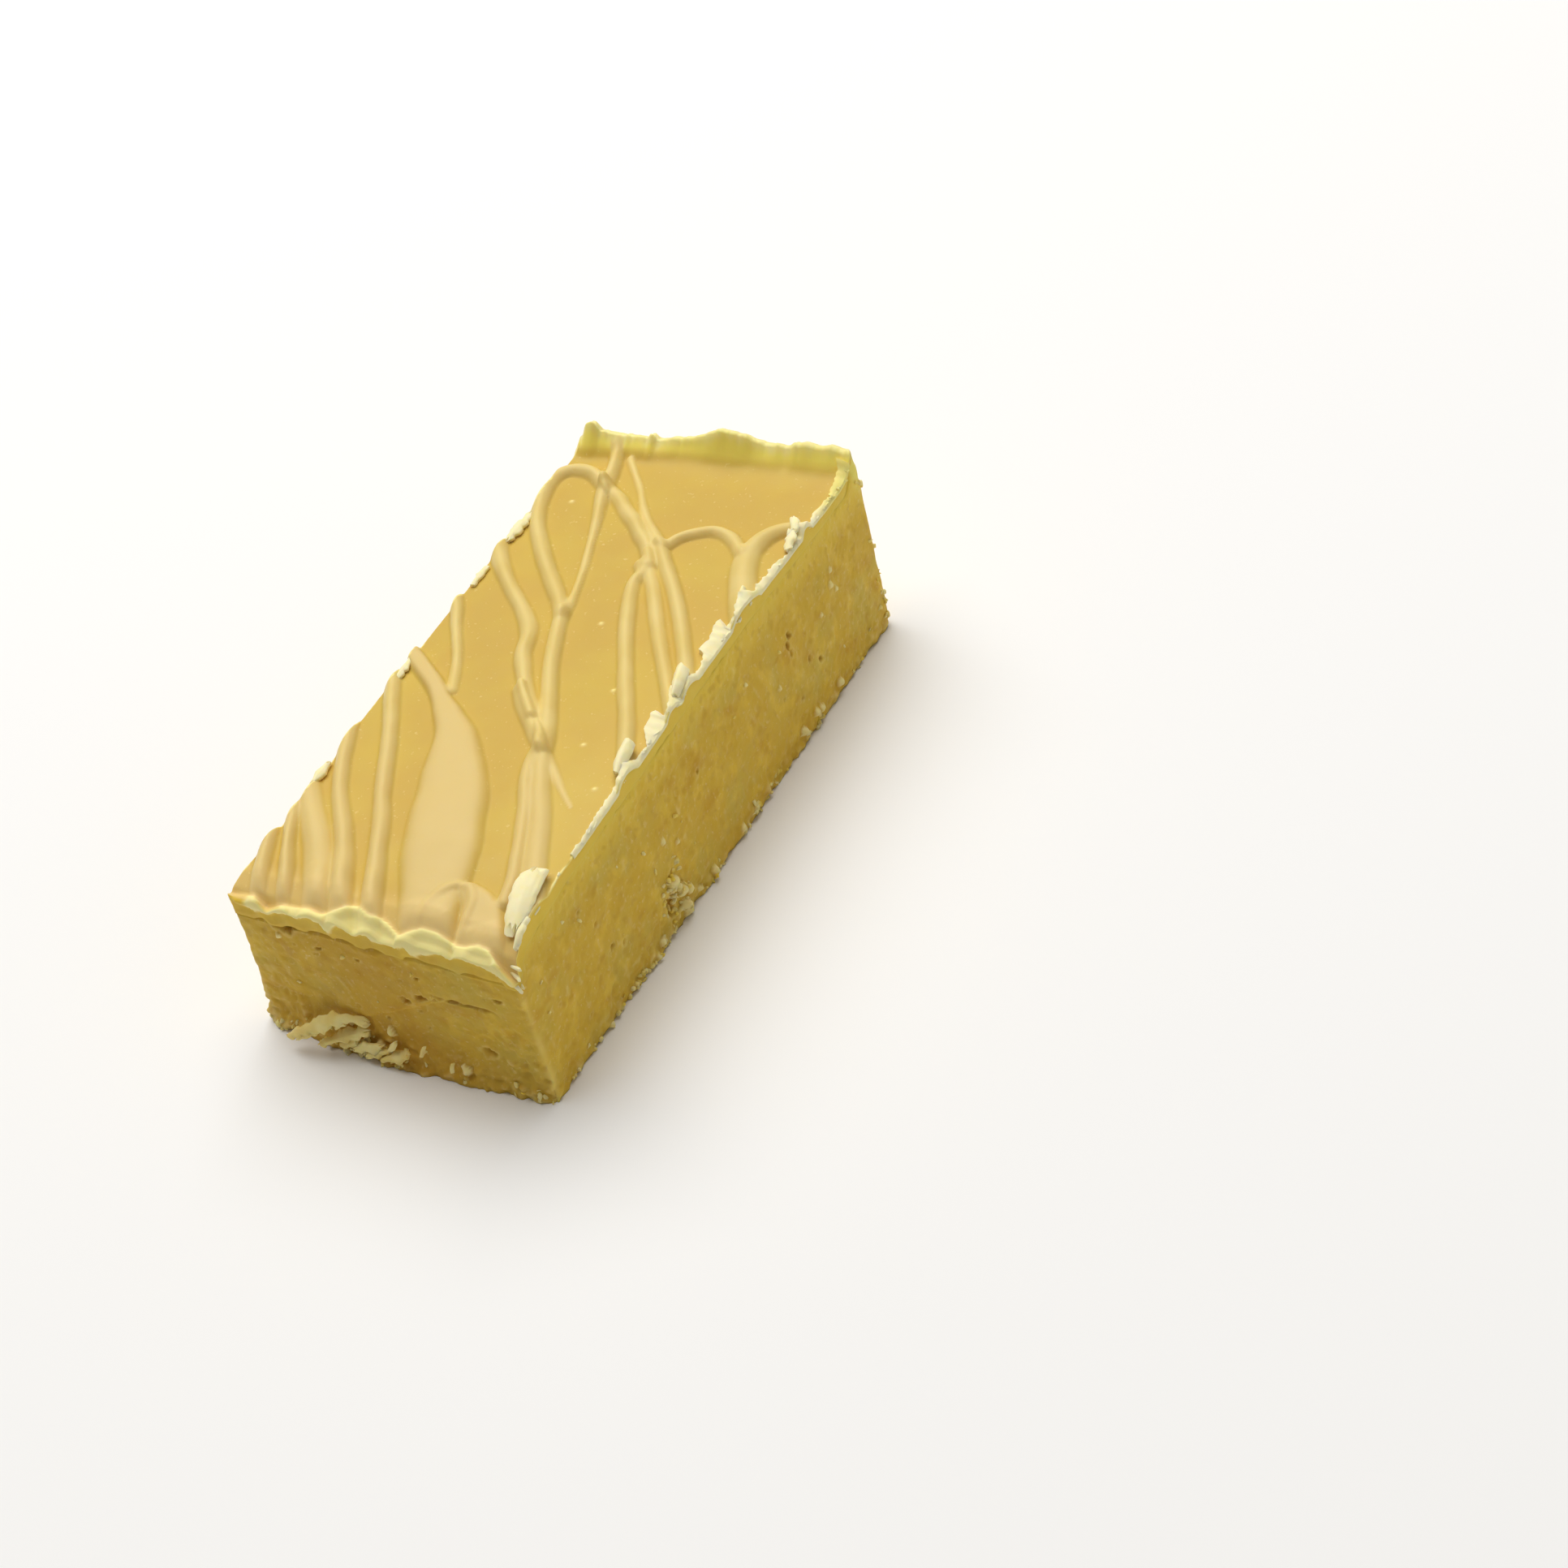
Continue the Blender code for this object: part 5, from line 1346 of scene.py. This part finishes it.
def make_crumbs(sizes, colours):
    """Crumbs along the foot of the cuts, in the tears and at the tray end."""
    body = bpy.data.objects["fudge_body"]
    grower = bpy.data.objects.new("crumb_grower", body.data.copy())
    bpy.context.scene.collection.objects.link(grower)
    wanted = {
        "Density": sizes.crumb_density * 1e6,
        "Smallest": sizes.crumb_least,
        "Largest": sizes.crumb_most,
        "Roughness": CRUMB_ROUGHNESS,
        "Seed": sizes.seed,
    }
    modifier = grower.modifiers.new("crumbs", "NODES")
    modifier.node_group = crumb_tree(crumb_material(colours), wanted)
    for item in modifier.node_group.interface.items_tree:
        if item.in_out == "INPUT" and item.name in wanted:
            modifier[item.identifier] = wanted[item.name]
    graph = bpy.context.evaluated_depsgraph_get()
    mesh = bpy.data.meshes.new_from_object(grower.evaluated_get(graph))
    bpy.data.objects.remove(grower)
    places = np.empty(len(mesh.vertices) * 3)
    mesh.vertices.foreach_get("co", places)
    places = places.reshape(-1, 3)
    places[:, 2] = np.maximum(places[:, 2], 0.0)
    mesh.vertices.foreach_set("co", places.ravel())
    mesh.shade_smooth()
    crumbs = bpy.data.objects.new("fudge_crumbs", mesh)
    bpy.context.scene.collection.objects.link(crumbs)
    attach(crumbs, "root")
    return crumbs


# Stage


def make_floor(colours):
    """A wide pale floor under the bar."""
    corners = [(x * FLOOR_REACH, y * FLOOR_REACH, 0) for x, y in ((-1, -1), (1, -1), (1, 1), (-1, 1))]
    mesh = bpy.data.meshes.new("pale_floor")
    mesh.from_pydata(corners, [], [(0, 1, 2, 3)])
    mesh.materials.append(floor_material(colours))
    floor = bpy.data.objects.new("pale_floor", mesh)
    bpy.context.scene.collection.objects.link(floor)


def area_light(name, place, target, size, power, colour):
    """A soft square light that faces a target."""
    data = bpy.data.lights.new(name, "AREA")
    data.shape = "SQUARE"
    data.size = size
    data.energy = power
    data.color = colour
    lamp = bpy.data.objects.new(name, data)
    lamp.location = place
    lamp.rotation_euler = (Vector(target) - Vector(place)).to_track_quat("-Z", "Y").to_euler()
    bpy.context.scene.collection.objects.link(lamp)


def make_lights(sizes):
    """A broad soft light overhead, a weaker one on the right, and a faint fill all round."""
    area_light("softbox", (-0.32, 0.34, 1.17), (0.0, 0.0, 0.0), 1.4, sizes.light, (1.0, 0.985, 0.955))
    area_light("right_fill", (1.0, 0.0, 0.55), (0.0, 0.0, 0.01), 0.9, sizes.fill, (1.0, 0.97, 0.92))
    world = bpy.data.worlds.new("studio")
    world.use_nodes = True
    shade = world.node_tree.nodes["Background"]
    shade.inputs["Color"].default_value = (1.0, 0.985, 0.96, 1.0)
    shade.inputs["Strength"].default_value = 0.14
    bpy.context.scene.world = world


def make_camera():
    """The camera that took the photograph, level with the bar's own frame."""
    data = bpy.data.cameras.new("photo_camera")
    data.lens = CAMERA_LENS
    data.sensor_width = SENSOR
    data.clip_start = 0.01
    camera = bpy.data.objects.new("photo_camera", data)
    turn = Matrix((CAMERA_RIGHT, CAMERA_UP, [-c for c in CAMERA_FORWARD])).transposed()
    camera.matrix_world = Matrix.Translation((np.array(CAMERA_PLACE) + MOVED) * MM) @ turn.to_4x4()
    bpy.context.scene.collection.objects.link(camera)
    bpy.context.scene.camera = camera


# Settings, operators and panel


def tint(name, description, value):
    """A colour setting."""
    return FloatVectorProperty(
        name=name, description=description, subtype="COLOR", size=4, min=0, max=1, default=value)


def measure(name, description, value, **limits):
    """A setting that is one number."""
    return FloatProperty(name=name, description=description, default=value, **limits)


class FudgeBarSizes(bpy.types.PropertyGroup):
    """Sizes that a user may change."""

    grain: measure("Grain", "Strength of the cut faces' grain", 1.0, min=0, max=3)
    pits: measure("Pits", "Depth of pits and hollows", 1.0, min=0, max=3)
    flake: measure("Flake", "Thickness of a torn flake", 0.0005, unit="LENGTH")
    crumb_density: measure("Crumbs", "Most crumbs on a square millimetre", 1.8, min=0)
    crumb_least: measure("Smallest crumb", "Radius", 0.00012, unit="LENGTH")
    crumb_most: measure("Largest crumb", "Radius", 0.00062, unit="LENGTH")
    seed: IntProperty(name="Seed", description="Which scatter of crumbs", default=4)
    light: measure("Light", "Power of the soft light in watts", 21.0, min=0)
    fill: measure("Fill", "Power of the light on the right in watts", 0.8, min=0)


class FudgeBarColours(bpy.types.PropertyGroup):
    """Colours of the bar and its ground."""

    fudge: tint("Fudge", "Cut fudge", (0.73, 0.475, 0.048, 1))
    fudge_olive: tint("Fudge, cool", "Cooler clouds in the cut fudge", (0.68, 0.485, 0.07, 1))
    # Also used as painted shade, darker towards the foot of the cut faces
    fudge_amber: tint("Fudge, amber", "Warmer clouds in the cut fudge", (0.64, 0.36, 0.027, 1))
    fudge_bright: tint("Fudge, bright", "Fresh yellow just under the topping", (0.9, 0.63, 0.075, 1))
    # Painted light: a paler peach band along the near cut that lifts the shade behind the bead
    painted_band_light: tint("Fresh", "Drizzle that the knife spread along the near cut", (1.0, 0.745, 0.33, 1))
    grain: tint("Grain", "Raised grain and crumbs", (0.95, 0.78, 0.33, 1))
    # Painted shade: this colour darkens the near face, more towards its foot, and the insides of pits and the
    # crack; it also gives the cut random darker mottling
    shade_and_mottle: tint("Hollow", "Inside of pits, and the deeper tone of the near face", (0.56, 0.3, 0.03, 1))
    # Lemon yellow of the fudge on the tray wall, brightened past its own colour as painted light for the glow
    # through the thin lip; it also paints the highlight down the near right edge and tints the far flakes
    lip: tint("Lip", "Fudge that crept up the tray wall", (1.0, 0.82, 0.17, 1))
    skin: tint("Skin", "Set skin of the topping", (0.63, 0.418, 0.08, 1))
    skin_warm: tint("Skin, yellow", "Yellower clouds in the skin", (0.65, 0.452, 0.08, 1))
    # Painted sheen: the lighter skin where the top shows brighter
    sheen_tone: tint("Skin, light", "Brighter skin where the topping runs thin", (0.72, 0.52, 0.11, 1))
    drizzle: tint("Drizzle", "Raised lines of drizzle", (0.765, 0.582, 0.195, 1))
    drizzle_light: tint("Drizzle, light", "Lighter clouds in the drizzle", (0.8, 0.625, 0.235, 1))
    drizzle_broad: tint("Drizzle, broad", "Broad flat lines of drizzle", (0.757, 0.565, 0.215, 1))
    rim: tint("Rim", "Rolled cut edge of the topping", (1.0, 0.845, 0.35, 1))
    cream: tint("Cream", "Torn flakes", (0.98, 0.865, 0.52, 1))
    ground: tint("Ground", "Pale floor", (0.93, 0.93, 0.93, 1))


class FUDGE_OT_body(bpy.types.Operator):
    """Make the dense cut body of the bar"""

    bl_idname = "fudge.body"
    bl_label = "Body"

    def execute(self, context):
        make_body(context.scene.fudge_sizes, context.scene.fudge_colours)
        return {"FINISHED"}


class FUDGE_OT_topping(bpy.types.Operator):
    """Make the topping sheet with its drizzle"""

    bl_idname = "fudge.topping"
    bl_label = "Topping"

    def execute(self, context):
        make_topping(context.scene.fudge_colours)
        return {"FINISHED"}


class FUDGE_OT_flakes(bpy.types.Operator):
    """Make the cream flakes along the cuts"""

    bl_idname = "fudge.flakes"
    bl_label = "Flakes"

    def execute(self, context):
        make_flakes(context.scene.fudge_sizes, context.scene.fudge_colours)
        return {"FINISHED"}


class FUDGE_OT_tongues(bpy.types.Operator):
    """Make the torn tongues at the foot"""

    bl_idname = "fudge.tongues"
    bl_label = "Tongues"

    def execute(self, context):
        make_tongues()
        return {"FINISHED"}


class FUDGE_OT_crumbs(bpy.types.Operator):
    """Scatter crumbs over the cuts"""

    bl_idname = "fudge.crumbs"
    bl_label = "Crumbs"

    def execute(self, context):
        make_crumbs(context.scene.fudge_sizes, context.scene.fudge_colours)
        return {"FINISHED"}


class FUDGE_OT_stage(bpy.types.Operator):
    """Set out the floor, the lights and the camera"""

    bl_idname = "fudge.stage"
    bl_label = "Stage"

    def execute(self, context):
        make_floor(context.scene.fudge_colours)
        make_lights(context.scene.fudge_sizes)
        make_camera()
        context.scene.view_settings.view_transform = "Standard"
        return {"FINISHED"}


class FUDGE_PT_panel(bpy.types.Panel):
    """Lists the pieces and their settings"""

    bl_idname = "FUDGE_PT_panel"
    bl_label = "Fudge bar"
    bl_space_type = "VIEW_3D"
    bl_region_type = "UI"
    bl_category = "Fudge"

    def draw(self, context):
        for operator in OPERATORS:
            self.layout.operator(operator.bl_idname)
        for group in (context.scene.fudge_sizes, context.scene.fudge_colours):
            for name in group.__annotations__:
                self.layout.prop(group, name)


GROUPS = (FudgeBarSizes, FudgeBarColours)
OPERATORS = (
    FUDGE_OT_body, FUDGE_OT_topping, FUDGE_OT_flakes, FUDGE_OT_tongues, FUDGE_OT_crumbs, FUDGE_OT_stage)


def register():
    """Adds the settings, the operators and the panel."""
    for item in GROUPS + OPERATORS + (FUDGE_PT_panel,):
        bpy.utils.register_class(item)
    bpy.types.Scene.fudge_sizes = PointerProperty(type=FudgeBarSizes)
    bpy.types.Scene.fudge_colours = PointerProperty(type=FudgeBarColours)


def unregister():
    """Takes them away again."""
    del bpy.types.Scene.fudge_colours
    del bpy.types.Scene.fudge_sizes
    for item in (FUDGE_PT_panel,) + OPERATORS[::-1] + GROUPS[::-1]:
        bpy.utils.unregister_class(item)


def main():
    """Makes every piece in order."""
    register()
    bpy.ops.fudge.body()
    bpy.ops.fudge.topping()
    bpy.ops.fudge.flakes()
    bpy.ops.fudge.tongues()
    bpy.ops.fudge.crumbs()
    bpy.ops.fudge.stage()


if __name__ == "__main__":
    main()
